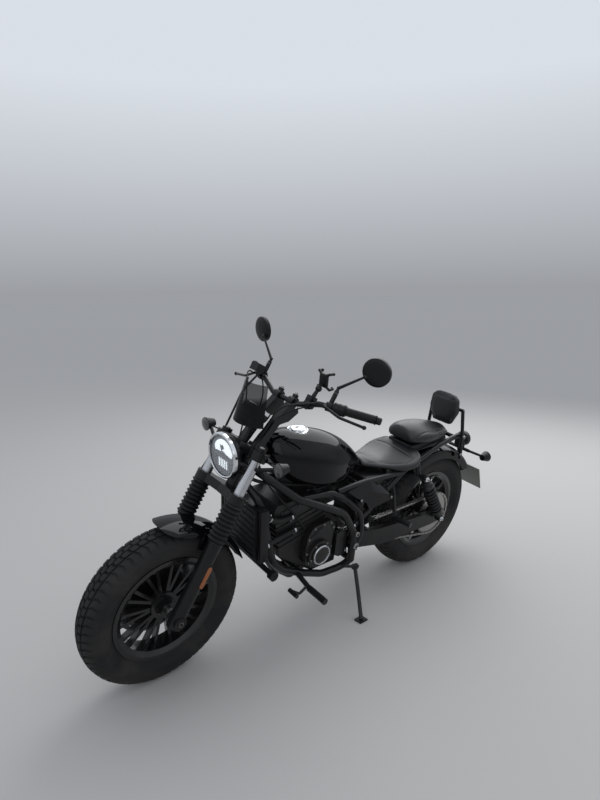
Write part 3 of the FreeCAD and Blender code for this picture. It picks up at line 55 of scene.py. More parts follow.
MM = 0.001
FULL_TURN = 2 * math.pi
ACROSS = Vector((0, 1, 0))
UPWARD = Vector((0, 0, 1))


# Finishes


class Wire:
    """One socket of a material, on which Python's operators add Math nodes."""

    def __init__(self, graph: "Graph", socket: bpy.types.NodeSocket) -> None:
        """Keeps the socket and the graph that it belongs to."""
        self.graph = graph
        self.socket = socket

    def maths(self, operation: str, first: Operand, second: Operand = 0.0, clamp: bool = False) -> "Wire":
        """Adds a Math node.

        Args:
            operation: Name of the sum.
            first: Its first value.
            second: Its second value.
            clamp: Whether the result stays between 0 and 1.

        Returns:
            The result.
        """
        return self.graph.add("ShaderNodeMath", {"operation": operation, "use_clamp": clamp}, {0: first, 1: second})

    def __add__(self, other: Operand) -> "Wire":
        """Sum."""
        return self.maths("ADD", self, other)

    def __radd__(self, other: Operand) -> "Wire":
        """Sum with a number in front."""
        return self.maths("ADD", other, self)

    def __sub__(self, other: Operand) -> "Wire":
        """Difference."""
        return self.maths("SUBTRACT", self, other)

    def __rsub__(self, other: Operand) -> "Wire":
        """Difference from a number in front."""
        return self.maths("SUBTRACT", other, self)

    def __mul__(self, other: Operand) -> "Wire":
        """Product."""
        return self.maths("MULTIPLY", self, other)

    def clamped(self) -> "Wire":
        """The value held between 0 and 1."""
        return self.maths("ADD", self, 0.0, clamp=True)

    def above(self, limit: float) -> "Wire":
        """1 where the value passes a limit, and 0 elsewhere."""
        return self.maths("GREATER_THAN", self, limit)


class Graph:
    """The node tree of one material, or of the sky."""

    def __init__(self, owner: bpy.types.Material | bpy.types.World) -> None:
        """Empties the owner's tree and reads the place on the piece.

        Args:
            owner: The material, or the world.
        """
        self.material = owner
        self.material.use_nodes = True
        self.tree = self.material.node_tree
        self.tree.nodes.clear()
        self.place = self.add("ShaderNodeTexCoord", output="Object")

    @classmethod
    def paint(cls, name: str) -> "Graph":
        """Starts an empty material."""
        return cls(bpy.data.materials.new(name))

    def add(self, kind: str, settings: dict | None = None, inputs: dict | None = None, output: str | int = 0) -> Wire:
        """Adds one node.

        Args:
            kind: The node's type.
            settings: Its properties, and "stops" for a ramp's places and grey levels.
            inputs: Values or wires of its sockets, by name or number.
            output: The socket that is wanted from it.

        Returns:
            That output.
        """
        node = self.tree.nodes.new(kind)
        for name, value in (settings or {}).items():
            if name == "stops":
                ramp = node.color_ramp
                for element, (position, level) in zip(ramp.elements, value):
                    element.position = position
                    element.color = (level, level, level, 1)
            else:
                setattr(node, name, value)
        for key, value in (inputs or {}).items():
            if isinstance(value, Wire):
                self.tree.links.new(value.socket, node.inputs[key])
            elif isinstance(value, tuple) and len(value) == 3 and node.inputs[key].type == "RGBA":
                node.inputs[key].default_value = (*value, 1)
            else:
                node.inputs[key].default_value = value
        return Wire(self, node.outputs[output])

    def axis(self, name: str, place: Wire | None = None) -> Wire:
        """X, Y or Z of the place on the piece, or of another one."""
        return self.add("ShaderNodeSeparateXYZ", {}, {"Vector": place or self.place}, output=name)

    def noise(self, scale: float, detail: float = 3.0, at: Wire | None = None) -> Wire:
        """Cloudy value between 0 and 1 with a number of blobs to the metre."""
        return self.add("ShaderNodeTexNoise", {}, {"Vector": at or self.place, "Scale": scale, "Detail": detail})

    def stretched(self, scale: Point) -> Wire:
        """The place on the piece, drawn out by a factor along each axis."""
        return self.add("ShaderNodeMapping", {}, {"Vector": self.place, "Scale": scale})

    def blended(self, mask: Operand, low: Colour | Wire, high: Colour | Wire) -> Wire:
        """Colour between two colours by a mask."""
        colours = {6: low, 7: high}
        return self.add("ShaderNodeMix", {"data_type": "RGBA"}, {0: mask, **colours}, output=2)

    def bump(self, height: Wire, strength: float, depth: float) -> Wire:
        """Normal from a height, with the depth in metres."""
        return self.add("ShaderNodeBump", {}, {"Height": height, "Strength": strength, "Distance": depth})

    def finish(self, **inputs: Wire | float | Colour) -> bpy.types.Material:
        """Closes the material with one shader.

        Args:
            inputs: The shader's sockets, with _ for a space in their names.

        Returns:
            The finished material.
        """
        named = {name.replace("_", " "): value for name, value in inputs.items()}
        shader = self.add("ShaderNodeBsdfPrincipled", {}, named)
        self.add_output(shader, "ShaderNodeOutputMaterial")
        return self.material

    def add_output(self, shader: Wire, kind: str) -> None:
        """Links a shader to the tree's output."""
        node = self.tree.nodes.new(kind)
        self.tree.links.new(shader.socket, node.inputs["Surface"])


class Grain(Enum):
    """Small relief of a surface."""

    SMOOTH = "smooth"
    PEEL = "sprayed paint"
    CAST = "cast metal"
    HIDE = "leather grain"
    SKIN = "moulded rubber"
    BRUSHED = "drawn metal"


# grain: blobs to the metre, strength, depth in metres
GRAIN_SIZES = {
    Grain.SMOOTH: (40, 0.0, 0.0),
    Grain.PEEL: (420, 0.05, 0.0004),
    Grain.CAST: (900, 0.35, 0.0004),
    Grain.HIDE: (620, 0.5, 0.0005),
    Grain.SKIN: (1300, 0.3, 0.0003),
    Grain.BRUSHED: (1200, 0.12, 0.0002),
}
DUST: Colour = (0.23, 0.2, 0.165)


@dataclass(frozen=True)
class Finish:
    """One surface finish with its record slot, small relief, unevenness and road dust."""

    name: str
    slot: str
    colour: Colour
    roughness: float
    metallic: float = 0.0
    coat: float = 0.0
    grain: Grain = Grain.SMOOTH
    dust: float = 0.1
    mottle: float = 0.25
    glow: float = 0.0
    alpha: float = 1.0
    shine: float = 0.5

    def relief(self, graph: Graph) -> Wire:
        """Height of the grain.

        Args:
            graph: The material's nodes.

        Returns:
            The height.
        """
        count = GRAIN_SIZES[self.grain][0]
        if self.grain is Grain.HIDE:
            cells = graph.add("ShaderNodeTexVoronoi", {"feature": "SMOOTH_F1"},
                              {"Vector": graph.place, "Scale": count, "Smoothness": 0.4}, output="Distance")
            return cells * 0.8 + graph.noise(count * 0.3) * 0.5
        if self.grain is Grain.BRUSHED:
            return graph.noise(count, 2, graph.stretched((1.0, 1.0, 0.02)))
        return graph.noise(count, 4)

    def build(self) -> bpy.types.Material:
        """Makes the material.

        Returns:
            The material, named after the finish.
        """
        graph = Graph.paint(self.name)
        clouds = graph.noise(7, 4)
        specks = graph.noise(160, 5)
        height = graph.axis("Z")
        low_down = (1.0 - height * 1.1).clamped()
        soil = ((clouds - 0.42) * 3.0).clamped() * (specks * 1.3).clamped() * (low_down * self.dust)
        light = tuple(min(1.0, part * (1 + self.mottle)) for part in self.colour)
        dark = tuple(part * (1 - self.mottle) for part in self.colour)
        paint = graph.blended(clouds, dark, light)
        sockets: dict[str, Wire | float | Colour] = {
            "Base_Color": graph.blended(soil, paint, DUST),
            "Roughness": (self.roughness + (specks - 0.5) * (0.35 * self.roughness) + soil * 0.4).clamped(),
            "Metallic": self.metallic,
            "Coat_Weight": self.coat,
            "Coat_Roughness": 0.03,
            "Specular_IOR_Level": self.shine,
            "Alpha": self.alpha,
        }
        _count, strength, depth = GRAIN_SIZES[self.grain]
        if strength:
            sockets["Normal"] = graph.bump(self.relief(graph), strength, depth)
        if self.glow:
            sockets["Emission_Color"] = self.colour
            sockets["Emission_Strength"] = self.glow
        return graph.finish(**sockets)


@dataclass(frozen=True)
class DrilledSteel:
    """Brake disc steel: turned rings, and holes as see-through spots of the piece's own map."""

    name: str = "drilled_steel"
    slot: str = "steel"
    rows: int = 3
    holes: int = 24

    def build(self) -> bpy.types.Material:
        """Makes the material; U runs once round the disc and V across its band.

        Returns:
            The material.
        """
        graph = Graph.paint(self.name)
        chart = graph.add("ShaderNodeTexCoord", output="UV")
        around = graph.axis("X", chart)
        across = graph.axis("Y", chart)
        step = around * self.holes + across * 1.1
        turn = step.maths("FRACT", step) - 0.5
        rank = (across * self.rows).maths("FRACT", across * self.rows) - 0.5
        distance = (turn * turn) * 5.2 + (rank * rank) * 1.6
        whole = distance.above(0.07)
        rings = graph.noise(900, 2, graph.add("ShaderNodeMapping", {}, {"Vector": chart, "Scale": (0.02, 1.0, 1.0)}))
        return graph.finish(
            Base_Color=graph.blended(rings, (0.33, 0.33, 0.34), (0.5, 0.5, 0.51)),
            Roughness=0.22 + rings * 0.2, Metallic=1.0, Alpha=whole,
            Normal=graph.bump(rings, 0.15, 0.0002))


@dataclass(frozen=True)
class CoolerCore:
    """Fine folded fins of the radiator between flat tubes."""

    name: str = "cooler_core"
    slot: str = "engine_black"

    def build(self) -> bpy.types.Material:
        """Makes the material.

        Returns:
            The material.
        """
        graph = Graph.paint(self.name)
        tubes = graph.add("ShaderNodeTexWave", {"bands_direction": "Z"},
                          {"Vector": graph.place, "Scale": 40.0, "Distortion": 0.0}, output="Fac")
        folds = graph.add("ShaderNodeTexWave", {"bands_direction": "Y"},
                          {"Vector": graph.place, "Scale": 140.0, "Distortion": 0.3}, output="Fac")
        height = (tubes.above(0.75) + folds * 0.6).clamped()
        # The base colour is darker where the relief is low, between the tubes and down the folds of the fins: painted
        # shade in the core's hollows.
        return graph.finish(
            Base_Color=graph.blended(height, (0.004, 0.004, 0.004), (0.05, 0.05, 0.052)),
            Roughness=0.6 - height * 0.2, Metallic=0.4, Normal=graph.bump(height, 0.8, 0.002))


@dataclass(frozen=True)
class SmokedScreen:
    """Tinted screen: dense where it is masked low down, and see-through above."""

    name: str = "smoked_screen"
    slot: str = "lamp_lens"
    dense_below: float = 1.05
    fade: float = 0.035
    tint: float = 0.55

    def build(self) -> bpy.types.Material:
        """Makes the material.

        Returns:
            The material.
        """
        graph = Graph.paint(self.name)
        height = graph.axis("Z")
        mask = ((self.dense_below + self.fade - height) * (1 / self.fade)).clamped()
        haze = graph.noise(60, 3)
        return graph.finish(
            Base_Color=graph.blended(haze, (0.006, 0.006, 0.007), (0.014, 0.014, 0.016)),
            Roughness=0.1 + haze * 0.06, Specular_IOR_Level=0.12, Alpha=mask * (0.97 - self.tint) + self.tint)


AnyFinish = Union[Finish, DrilledSteel, CoolerCore, SmokedScreen]

TYRE_RUBBER = Finish("tyre_rubber", "tyre", (0.013, 0.013, 0.0135), 0.72, grain=Grain.SKIN, dust=0.3, shine=0.3)
RUBBER = Finish("rubber", "black_rubber", (0.008, 0.008, 0.008), 0.55, grain=Grain.SKIN, dust=0.1, shine=0.3)
GLOSS = Finish("gloss_paint", "gloss_black_paint", (0.003, 0.003, 0.0038), 0.2, coat=0.55, dust=0.03, shine=0.0)
WHEEL_PAINT = Finish("wheel_paint", "black_alloy", (0.006, 0.006, 0.0065), 0.24, coat=0.25, grain=Grain.PEEL, dust=0.12)
SATIN = Finish("satin_coat", "frame_black", (0.007, 0.007, 0.0078), 0.34, grain=Grain.PEEL, dust=0.1, shine=0.35)
ENGINE = Finish("engine_coat", "engine_black", (0.009, 0.009, 0.0095), 0.46, grain=Grain.CAST, dust=0.2, shine=0.35)
COVER = Finish("cover_coat", "engine_black", (0.014, 0.014, 0.0145), 0.32,
               metallic=0.25, grain=Grain.PEEL, dust=0.15, shine=0.4)
EXHAUST = Finish("heatproof_coat", "exhaust_black", (0.009, 0.009, 0.009), 0.45, grain=Grain.CAST, dust=0.2, shine=0.35)
MOULDED = Finish("moulded_plastic", "moulded_black", (0.007, 0.007, 0.0078), 0.4,
                 grain=Grain.SKIN, dust=0.08, shine=0.3)
VINYL = Finish("seat_vinyl", "seat_vinyl", (0.011, 0.011, 0.0125), 0.4, grain=Grain.HIDE, dust=0.03, shine=0.55)
SILVER = Finish("satin_silver", "satin_silver", (0.52, 0.53, 0.55), 0.26, metallic=1.0, grain=Grain.BRUSHED, dust=0.05)
CHROME = Finish("chrome", "satin_silver", (0.78, 0.79, 0.8), 0.07, metallic=1.0, dust=0.02, mottle=0.04)
STEEL = Finish("bare_steel", "steel", (0.34, 0.33, 0.32), 0.34, metallic=1.0, dust=0.3)
ALLOY = Finish("black_alloy", "black_alloy", (0.01, 0.01, 0.0105), 0.3,
               metallic=0.3, grain=Grain.PEEL, dust=0.08, shine=0.35)
DISC_ALLOY = replace(ALLOY, slot="steel")
MIRROR = Finish("mirror_glass", "satin_silver", (0.82, 0.84, 0.86), 0.02, metallic=1.0, dust=0.0, mottle=0.02)
LENS = Finish("clear_lens", "lamp_lens", (0.86, 0.9, 0.94), 0.03, coat=1.0, dust=0.0, alpha=0.2, mottle=0.02)
LAMP = Finish("lamp_white", "lamp_lens", (0.9, 0.97, 1.0), 0.2, dust=0.0, glow=0.8, mottle=0.0)
LAMP_BOWL = Finish("lamp_bowl", "satin_silver", (0.035, 0.036, 0.04), 0.24, metallic=0.6, dust=0.0)
SMOKE = Finish("smoked_lens", "lamp_lens", (0.07, 0.07, 0.068), 0.2, coat=0.6, grain=Grain.PEEL, dust=0.1)
RED = Finish("red_lens", "lamp_lens", (0.2, 0.006, 0.008), 0.12, coat=1.0, dust=0.0)
AMBER = Finish("amber_reflector", "moulded_black", (0.26, 0.07, 0.01), 0.22, coat=0.5, dust=0.1)
GLASS_BLACK = Finish("dark_glass", "moulded_black", (0.004, 0.005, 0.006), 0.04, coat=1.0, dust=0.0)
MARKS = Finish("dial_marks", "plate_white", (0.7, 0.72, 0.72), 0.5, dust=0.0)
# The plate's dark grey-green is painted shade: the plate's face is darkened as if it lay in shadow.
PLATE_PAINTED_SHADE = Finish("plate_painted_shade", "plate_white", (0.2, 0.215, 0.19), 0.38, dust=0.3, grain=Grain.PEEL)

# finish of each material slot of the record
SLOT_FINISHES = {finish.slot: finish for finish in (
    TYRE_RUBBER, ALLOY, GLOSS, SATIN, ENGINE, EXHAUST, SILVER, STEEL, MOULDED, RUBBER, VINYL, LENS, PLATE_PAINTED_SHADE)}
SLOT_FINISHES["caliper_black"] = ALLOY
# nodes whose look departs from their slot's
NODE_FINISHES = {
    "front_rim": WHEEL_PAINT,
    "rear_rim": WHEEL_PAINT,
    "filler_cap": CHROME,
    "engine_covers": COVER,
    "flyscreen": SmokedScreen(),
    "tail_lamp": MOULDED,
    "radiator": ALLOY,
    "side_covers": GLOSS,
}


MADE: dict[str, bpy.types.Material] = {}


def material_of(finish: AnyFinish) -> bpy.types.Material:
    """Looks a finish's material up, and makes it the first time.

    Args:
        finish: The finish.

    Returns:
        Its material.
    """
    if finish.name not in MADE:
        MADE[finish.name] = finish.build()
    return MADE[finish.name]


# Places


def rig(origin: Vector, *axes: Vector) -> Matrix:
    """Matrix of a frame from its origin and its three directions.

    Args:
        origin: The frame's origin.
        axes: Directions of its X, Y and Z.

    Returns:
        The matrix.
    """
    return Matrix.Translation(origin) @ Matrix(axes).transposed().to_4x4()


def placed(*spot: float) -> Matrix:
    """Matrix of a shift.

    Args:
        spot: The way along X, Y and Z.

    Returns:
        The matrix.
    """
    return Matrix.Translation(spot)


def rolled(angle: float, axis: str) -> Matrix:
    """Matrix of a turn.

    Args:
        angle: The angle in radians.
        axis: Name of the axis.

    Returns:
        The matrix.
    """
    return Matrix.Rotation(angle, 4, axis)


def aimed(start: Point | Vector, direction: Point | Vector) -> Matrix:
    """Matrix whose own Z runs along a direction from a point.

    Args:
        start: The point.
        direction: The direction, of any length.

    Returns:
        The matrix.
    """
    turn = UPWARD.rotation_difference(Vector(direction)).to_matrix().to_4x4()
    return Matrix.Translation(Vector(start)) @ turn


@dataclass(frozen=True)
class Places:
    """The leaning machine's own frames, which hold millimetres, in the part's metres.

    The upright machine is drawn about a point on the floor halfway between the axles. Steered
    pieces are drawn along the steering axis, from the foot of the axle's perpendicular.
    """

    bike: Matrix
    fork: Matrix
    steer: Matrix
    front_wheel: Matrix
    rear_wheel: Matrix

    RAKE = math.radians(28)
    FORWARD = Vector((math.cos(RAKE), 0, math.sin(RAKE)))
    OFFSET = 0.055
    FRONT_AXLE = Vector((0.74, 0, 0.32))
    REAR_AXLE = Vector((-0.74, 0, 0.323))
    UPPER_CLAMP = 0.645

    @classmethod
    def read(cls, joints: Sequence[dict]) -> "Places":
        """Works the frames out from the joints.

        Args:
            joints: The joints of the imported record.

        Returns:
            The frames, each a matrix from millimetres to metres.
        """
        points = {joint["name"]: Vector(joint["pos_m"]) for joint in joints}
        axes = {joint["name"]: Vector(joint["axis"]).normalized() for joint in joints}
        scale = Matrix.Scale(MM, 4)
        side = axes["rear_wheel_spin"]
        ahead = Vector((1, 0, 0))
        bike = rig(Vector(), ahead, side, ahead.cross(side))
        bike.translation = points["rear_wheel_spin"] - bike.to_3x3() @ cls.REAR_AXLE
        up = axes["steering_turn"]
        side = axes["front_wheel_spin"]
        fork = rig(points["steering_turn"] - up * cls.UPPER_CLAMP, side.cross(up), side, up)
        raked = Matrix.Translation(cls.FRONT_AXLE - cls.FORWARD * cls.OFFSET) @ rolled(-cls.RAKE, "Y")
        steer = fork @ raked.inverted()
        return cls(bike @ scale, fork @ scale, steer @ scale,
                   steer @ Matrix.Translation(cls.FRONT_AXLE) @ scale,
                   bike @ Matrix.Translation(cls.REAR_AXLE) @ scale)

    @classmethod
    def along_fork(cls, ahead: float, side: float, up: float) -> Vector:
        """Point of the upright machine, in millimetres, from steering coordinates.

        Args:
            ahead: Distance in front of the steering axis.
            side: Distance to the left.
            up: Distance along the axis from its foot.

        Returns:
            The point.
        """
        upward = Vector((-math.sin(cls.RAKE), 0, math.cos(cls.RAKE)))
        foot = (cls.FRONT_AXLE - cls.FORWARD * cls.OFFSET) / MM
        return foot + cls.FORWARD * ahead + ACROSS * side + upward * up


@dataclass(frozen=True)
class Mount:
    """A frame that pieces are drawn in, with the body that they ride on."""

    place: Matrix
    body: str

    def at(self, place: Matrix) -> "Mount":
        """A frame within this one, on the same body."""
        return Mount(self.place @ place, self.body)


PLACES = Places.read(frame["joints"])
ON_BIKE = Mount(PLACES.bike, "frame")
ON_FORK = Mount(PLACES.fork, "steering")
ON_STEER = Mount(PLACES.steer, "steering")
ON_REAR_WHEEL = Mount(PLACES.rear_wheel, "rear_wheel")


# Shapes


def verts_of(made: dict) -> list[bmesh.types.BMVert]:
    """Finds the points among what an operation gives back.

    Args:
        made: What it gives back.

    Returns:
        The points, in its order.
    """
    return [item for item in made["geom"] if isinstance(item, bmesh.types.BMVert)]


def linked(name: str, data: bpy.types.ID) -> Piece:
    """Makes an object of the scene.

    Args:
        name: Its name.
        data: Its mesh, curve, lamp or camera.

    Returns:
        The object.
    """
    holder = bpy.data.objects.new(name, data)
    bpy.context.scene.collection.objects.link(holder)
    return holder


def shown(holder: Piece) -> bpy.types.Mesh:
    """Makes a mesh of what an object shows, with its modifiers.

    Args:
        holder: The object.

    Returns:
        The mesh.
    """
    bpy.context.view_layer.update()
    return bpy.data.meshes.new_from_object(holder.evaluated_get(bpy.context.evaluated_depsgraph_get()))


class Shape:
    """A mesh being made, in millimetres of one of the machine's frames."""

    def __init__(self) -> None:
        """Starts with nothing."""
        self.mesh = bmesh.new()

    def take(self, verts: Iterable[bmesh.types.BMVert], place: Matrix | None) -> None:
        """Moves what was just made to its place."""
        if place is not None:
            bmesh.ops.transform(self.mesh, matrix=place, verts=list(verts))

    def bar(self, start: Point | Vector, end: Point | Vector, radius: float,
            end_radius: float | None = None, steps: int = 24) -> "Shape":
        """Adds a round bar, tapered where the end has a radius of its own.

        Args:
            start: Middle of its first end.
            end: Middle of its other end.
            radius: Its radius.
            end_radius: Radius of the other end, where that differs.
            steps: Faces round it.

        Returns:
            The shape itself.
        """
        run = Vector(end) - Vector(start)
        place = aimed(start, run) @ placed(0, 0, run.length / 2)
        made = bmesh.ops.create_cone(self.mesh, cap_ends=True, segments=steps, radius1=radius,
                                     radius2=radius if end_radius is None else end_radius, depth=run.length)
        self.take(made["verts"], place)
        return self

    def ball(self, centre: Point | Vector, radius: float, steps: int = 16) -> None:
        """Adds a round knob about its middle, with a radius and a number of faces round it."""
        made = bmesh.ops.create_uvsphere(self.mesh, u_segments=steps, v_segments=steps // 2, radius=radius)
        self.take(made["verts"], Matrix.Translation(Vector(centre)))

    def block(self, size: Point, place: Matrix, bevel: float = 0.0, segments: int = 2) -> "Shape":
        """Adds a box about its middle, with rounded edges where a bevel is given.

        Args:
            size: Its three lengths.
            place: Where its middle lies.
            bevel: Width of the rounding.
            segments: Faces across the rounding.

        Returns:
            The shape itself.
        """
        made = bmesh.ops.create_cube(self.mesh, size=1.0)
        verts = made["verts"]
        bmesh.ops.scale(self.mesh, vec=size, verts=verts)
        if bevel:
            edges = list({edge for vert in verts for edge in vert.link_edges})
            rounded = bmesh.ops.bevel(self.mesh, geom=edges, offset=bevel, offset_type="OFFSET", affect="EDGES",
                                      segments=segments, profile=0.5, material=-1)
            verts = list({vert for face in rounded["faces"] for vert in face.verts} | {
                vert for vert in verts if vert.is_valid})
        self.take(verts, place)
        return self

    def spun(self, outline: Outline, place: Matrix | None = None, steps: int = 48) -> "Shape":
        """Adds a body of revolution about the place's own Z.

        Args:
            outline: Radius and height of each corner, in order.
            place: Where the axis lies.
            steps: Faces round it.

        Returns:
            The shape itself.
        """
        verts = [self.mesh.verts.new((radius, 0, height)) for radius, height in outline]
        edges = [self.mesh.edges.new(ends) for ends in zip(verts, verts[1:])]
        before = set(self.mesh.verts) - set(verts)
        bmesh.ops.spin(self.mesh, geom=verts + edges, cent=(0, 0, 0), axis=(0, 0, 1), dvec=(0, 0, 0),
                       angle=FULL_TURN, steps=steps, use_merge=True)
        made = [vert for vert in self.mesh.verts if vert not in before]
        bmesh.ops.remove_doubles(self.mesh, verts=made, dist=1e-4)
        made = [vert for vert in self.mesh.verts if vert not in before]
        faces = list({face for vert in made for face in vert.link_faces})
        bmesh.ops.recalc_face_normals(self.mesh, faces=faces)
        self.take(made, place)
        return self

    def ring(self, radius: float, thickness: float, place: Matrix, steps: int = 48) -> None:
        """Adds a round wire ring about the place's Z.

        Args:
            radius: Radius of its middle line.
            thickness: Radius of the wire.
            place: Where its axis lies.
            steps: Faces round it.
        """
        corners = 10
        outline = [(radius + thickness * math.cos(FULL_TURN * k / corners),
                    thickness * math.sin(FULL_TURN * k / corners)) for k in range(corners + 1)]
        self.spun(outline, place, steps)

    def slab(self, outline: Outline, thickness: float, place: Matrix, bevel: float = 0.0) -> "Shape":
        """Adds a plate over an outline of its X and Y, as thick as told along its Z.

        Args:
            outline: Corners of the plate.
            thickness: Its thickness.
            place: Where its underside lies.
            bevel: Width of the rounding of its rims.

        Returns:
            The shape itself.
        """
        verts = [self.mesh.verts.new((x, y, 0)) for x, y in outline]
        face = self.mesh.faces.new(verts)
        grown = bmesh.ops.extrude_face_region(self.mesh, geom=[face])
        top = verts_of(grown)
        bmesh.ops.translate(self.mesh, vec=(0, 0, thickness), verts=top)
        made = verts + top
        faces = list({item for vert in made for item in vert.link_faces})
        bmesh.ops.recalc_face_normals(self.mesh, faces=faces)
        if bevel:
            rim = list({edge for item in faces if len(item.verts) == len(outline) for edge in item.edges})
            rounded = bmesh.ops.bevel(self.mesh, geom=rim, offset=bevel, offset_type="OFFSET", affect="EDGES",
                                      segments=2, profile=0.5, material=-1)
            made = list({vert for item in rounded["faces"] for vert in item.verts})
        self.take(made, place)
        return self

    def bolt(self, place: Matrix, radius: float, height: float = 0.0) -> None:
        """Adds a socket-headed bolt with its six-sided hole, its head standing on the place.

        Args:
            place: Where the head stands.
            radius: Radius of the head.
            height: Height of the head, or 0 for the usual one.
        """
        rise = height or radius * 1.1
        outline = ((radius, 0), (radius, rise * 0.8), (radius * 0.86, rise), (radius * 0.52, rise))
        self.spun(outline, place, 14)
        self.nut(place @ placed(0, 0, rise * 0.4), radius * 0.53, rise * 0.4)

    def nut(self, place: Matrix, radius: float, height: float) -> None:
        """Adds a six-sided block about the place, with a radius and a height along Z."""
        made = bmesh.ops.create_cone(self.mesh, cap_ends=True, segments=6, radius1=radius, radius2=radius, depth=height)
        self.take(made["verts"], place)

    def bolts(self, places: Iterable[Matrix], radius: float) -> None:
        """Adds a bolt with a radius at each of the places."""
        for place in places:
            self.bolt(place, radius)

    def move(self, change: Callable[[Vector], Vector]) -> None:
        """Puts every point where a function sends it."""
        for vert in self.mesh.verts:
            vert.co = change(vert.co)

    def copies(self, places: Sequence[Matrix]) -> "Shape":
        """Repeats all that is there at each of the places.

        Args:
            places: The places, the first of them for the original.

        Returns:
            The shape itself.
        """
        first = [*self.mesh.verts, *self.mesh.edges, *self.mesh.faces]
        for place in places[1:]:
            twin = bmesh.ops.duplicate(self.mesh, geom=first)
            bmesh.ops.transform(self.mesh, matrix=place, verts=verts_of(twin))
        bmesh.ops.transform(self.mesh, matrix=places[0], verts=verts_of({"geom": first}))
        return self

    def outward(self) -> None:
        """Turns all faces outwards."""
        bmesh.ops.recalc_face_normals(self.mesh, faces=list(self.mesh.faces))

    def absorb(self, data: bpy.types.Mesh) -> None:
        """Takes a mesh in, and removes it from the file."""
        self.mesh.from_mesh(data)
        bpy.data.meshes.remove(data)

    def twins(self) -> "Shape":
        """Adds the same on the other side of the machine.

        Returns:
            The shape itself.
        """
        first = [*self.mesh.verts, *self.mesh.edges, *self.mesh.faces]
        twin = bmesh.ops.duplicate(self.mesh, geom=first)
        faces = [item for item in twin["geom"] if isinstance(item, bmesh.types.BMFace)]
        bmesh.ops.scale(self.mesh, vec=(1, -1, 1), verts=verts_of(twin))
        bmesh.ops.reverse_faces(self.mesh, faces=faces)
        return self

    def publish(self, name: str, mount: Mount, finish: AnyFinish, replaces: Sequence[str] = (),
                crease: float = 35.0) -> Piece:
        """Turns the shape into a finished piece.

        Args:
            name: The piece's name.
            mount: The frame that it was drawn in, with its body.
            finish: Its finish.
            replaces: Nodes that it stands for.
            crease: Angle in degrees past which an edge stays sharp.

        Returns:
            The piece.
        """
        bmesh.ops.transform(self.mesh, matrix=mount.place, verts=list(self.mesh.verts))
        for face in self.mesh.faces:
            face.smooth = True
        for edge in self.mesh.edges:
            if len(edge.link_faces) == 2 and edge.calc_face_angle(0.0) > math.radians(crease):
                edge.smooth = False
        data = bpy.data.meshes.new(name)
        self.mesh.to_mesh(data)
        self.mesh.free()
        return settled(linked(name, data), mount.body, finish, replaces)


def settled(piece: Piece, body: str, finish: AnyFinish, replaces: Sequence[str] = ()) -> Piece:
    """Gives a piece its material and lets it ride on its body.

    Args:
        piece: The piece.
        body: The body that it rides on.
        finish: Its finish, which knows the record's slot.
        replaces: Nodes that it stands for.

    Returns:
        The piece.
    """
    piece.data.materials.clear()
    piece.data.materials.append(material_of(finish))
    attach(piece, body)
    if replaces:
        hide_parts(*replaces)
    LOG.info("%s: %d faces on %s", piece.name, len(piece.data.polygons), body)
    return piece


def line_mesh(name: str, points: Sequence[Point | Vector], radius: float, place: Matrix, steps: int = 5) -> Piece:
    """Round line through points of one frame, as a mesh in the part's metres.

    Args:
        name: The piece's name.
        points: The line, in millimetres.
        radius: Its radius in millimetres.
        place: The frame that the points are in.
        steps: Points of the curve between two given ones.

    Returns:
        The piece, not yet riding on anything.
    """
    curve = bpy.data.curves.new(name + "_line", "CURVE")
    curve.dimensions = "3D"
    curve.bevel_depth = radius * MM
    curve.bevel_resolution = 3
    curve.use_fill_caps = True
    curve.resolution_u = steps
    spline = curve.splines.new("NURBS")
    spline.points.add(len(points) - 1)
    for knot, point in zip(spline.points, points):
        knot.co = (*(place @ Vector(point)), 1)
    spline.order_u = min(4, len(points))
    spline.use_endpoint_u = True
    holder = linked(name + "_curve", curve)
    data = shown(holder)
    bpy.data.objects.remove(holder)
    bpy.data.curves.remove(curve)
    data.name = name
    for polygon in data.polygons:
        polygon.use_smooth = True
    return linked(name, data)


def remade(node: str, name: str, voxel: float) -> Piece:
    """Copies a node's solid into even small faces.

    Args:
        node: The node.
        name: Name of the new piece.
        voxel: Size of the faces in metres.

    Returns:
        The piece, not yet riding on anything.
    """
    shape = bmesh.new()
    shape.from_mesh(frame["nodes"][node].data)
    bmesh.ops.remove_doubles(shape, verts=list(shape.verts), dist=1e-5)
    bmesh.ops.recalc_face_normals(shape, faces=list(shape.faces))
    data = bpy.data.meshes.new(name)
    shape.to_mesh(data)
    shape.free()
    piece = linked(name, data)
    even = piece.modifiers.new("even", "REMESH")
    even.mode = "VOXEL"
    even.voxel_size = voxel
    applied(piece)
    return piece


def refined(piece: Piece) -> None:
    """Adds one level of subdivision, which stays live.

    Args:
        piece: The piece.
    """
    finer = piece.modifiers.new("finer", "SUBSURF")
    finer.levels = finer.render_levels = 1


def applied(piece: Piece) -> None:
    """Turns what the modifiers show into the piece's own mesh.

    Args:
        piece: The piece.
    """
    data = shown(piece)
    piece.modifiers.clear()
    old = piece.data
    piece.data = data
    bpy.data.meshes.remove(old)


def relaxed(piece: Piece, rounds: int, factor: float) -> None:
    """Smooths the piece by moving each point towards its neighbours.

    Args:
        piece: The piece.
        rounds: How often.
        factor: Share of the way that each point moves.
    """
    shape = bmesh.new()
    shape.from_mesh(piece.data)
    for _round in range(rounds):
        bmesh.ops.smooth_vert(shape, verts=list(shape.verts), factor=factor, use_axis_x=True, use_axis_y=True,
                              use_axis_z=True)
    shape.to_mesh(piece.data)
    shape.free()


def circle_places(count: int, radius: float, place: Matrix, first: float = 0.0) -> list[Matrix]:
    """Places spread evenly round an axis, each with its Z along it.

    Args:
        count: How many.
        radius: Their distance from the axis.
        place: Where the axis lies.
        first: Angle of the first one in radians.

    Returns:
        The places.
    """
    turns = [first + FULL_TURN * number / count for number in range(count)]
    return [place @ placed(radius * math.cos(turn), radius * math.sin(turn), 0) for turn in turns]


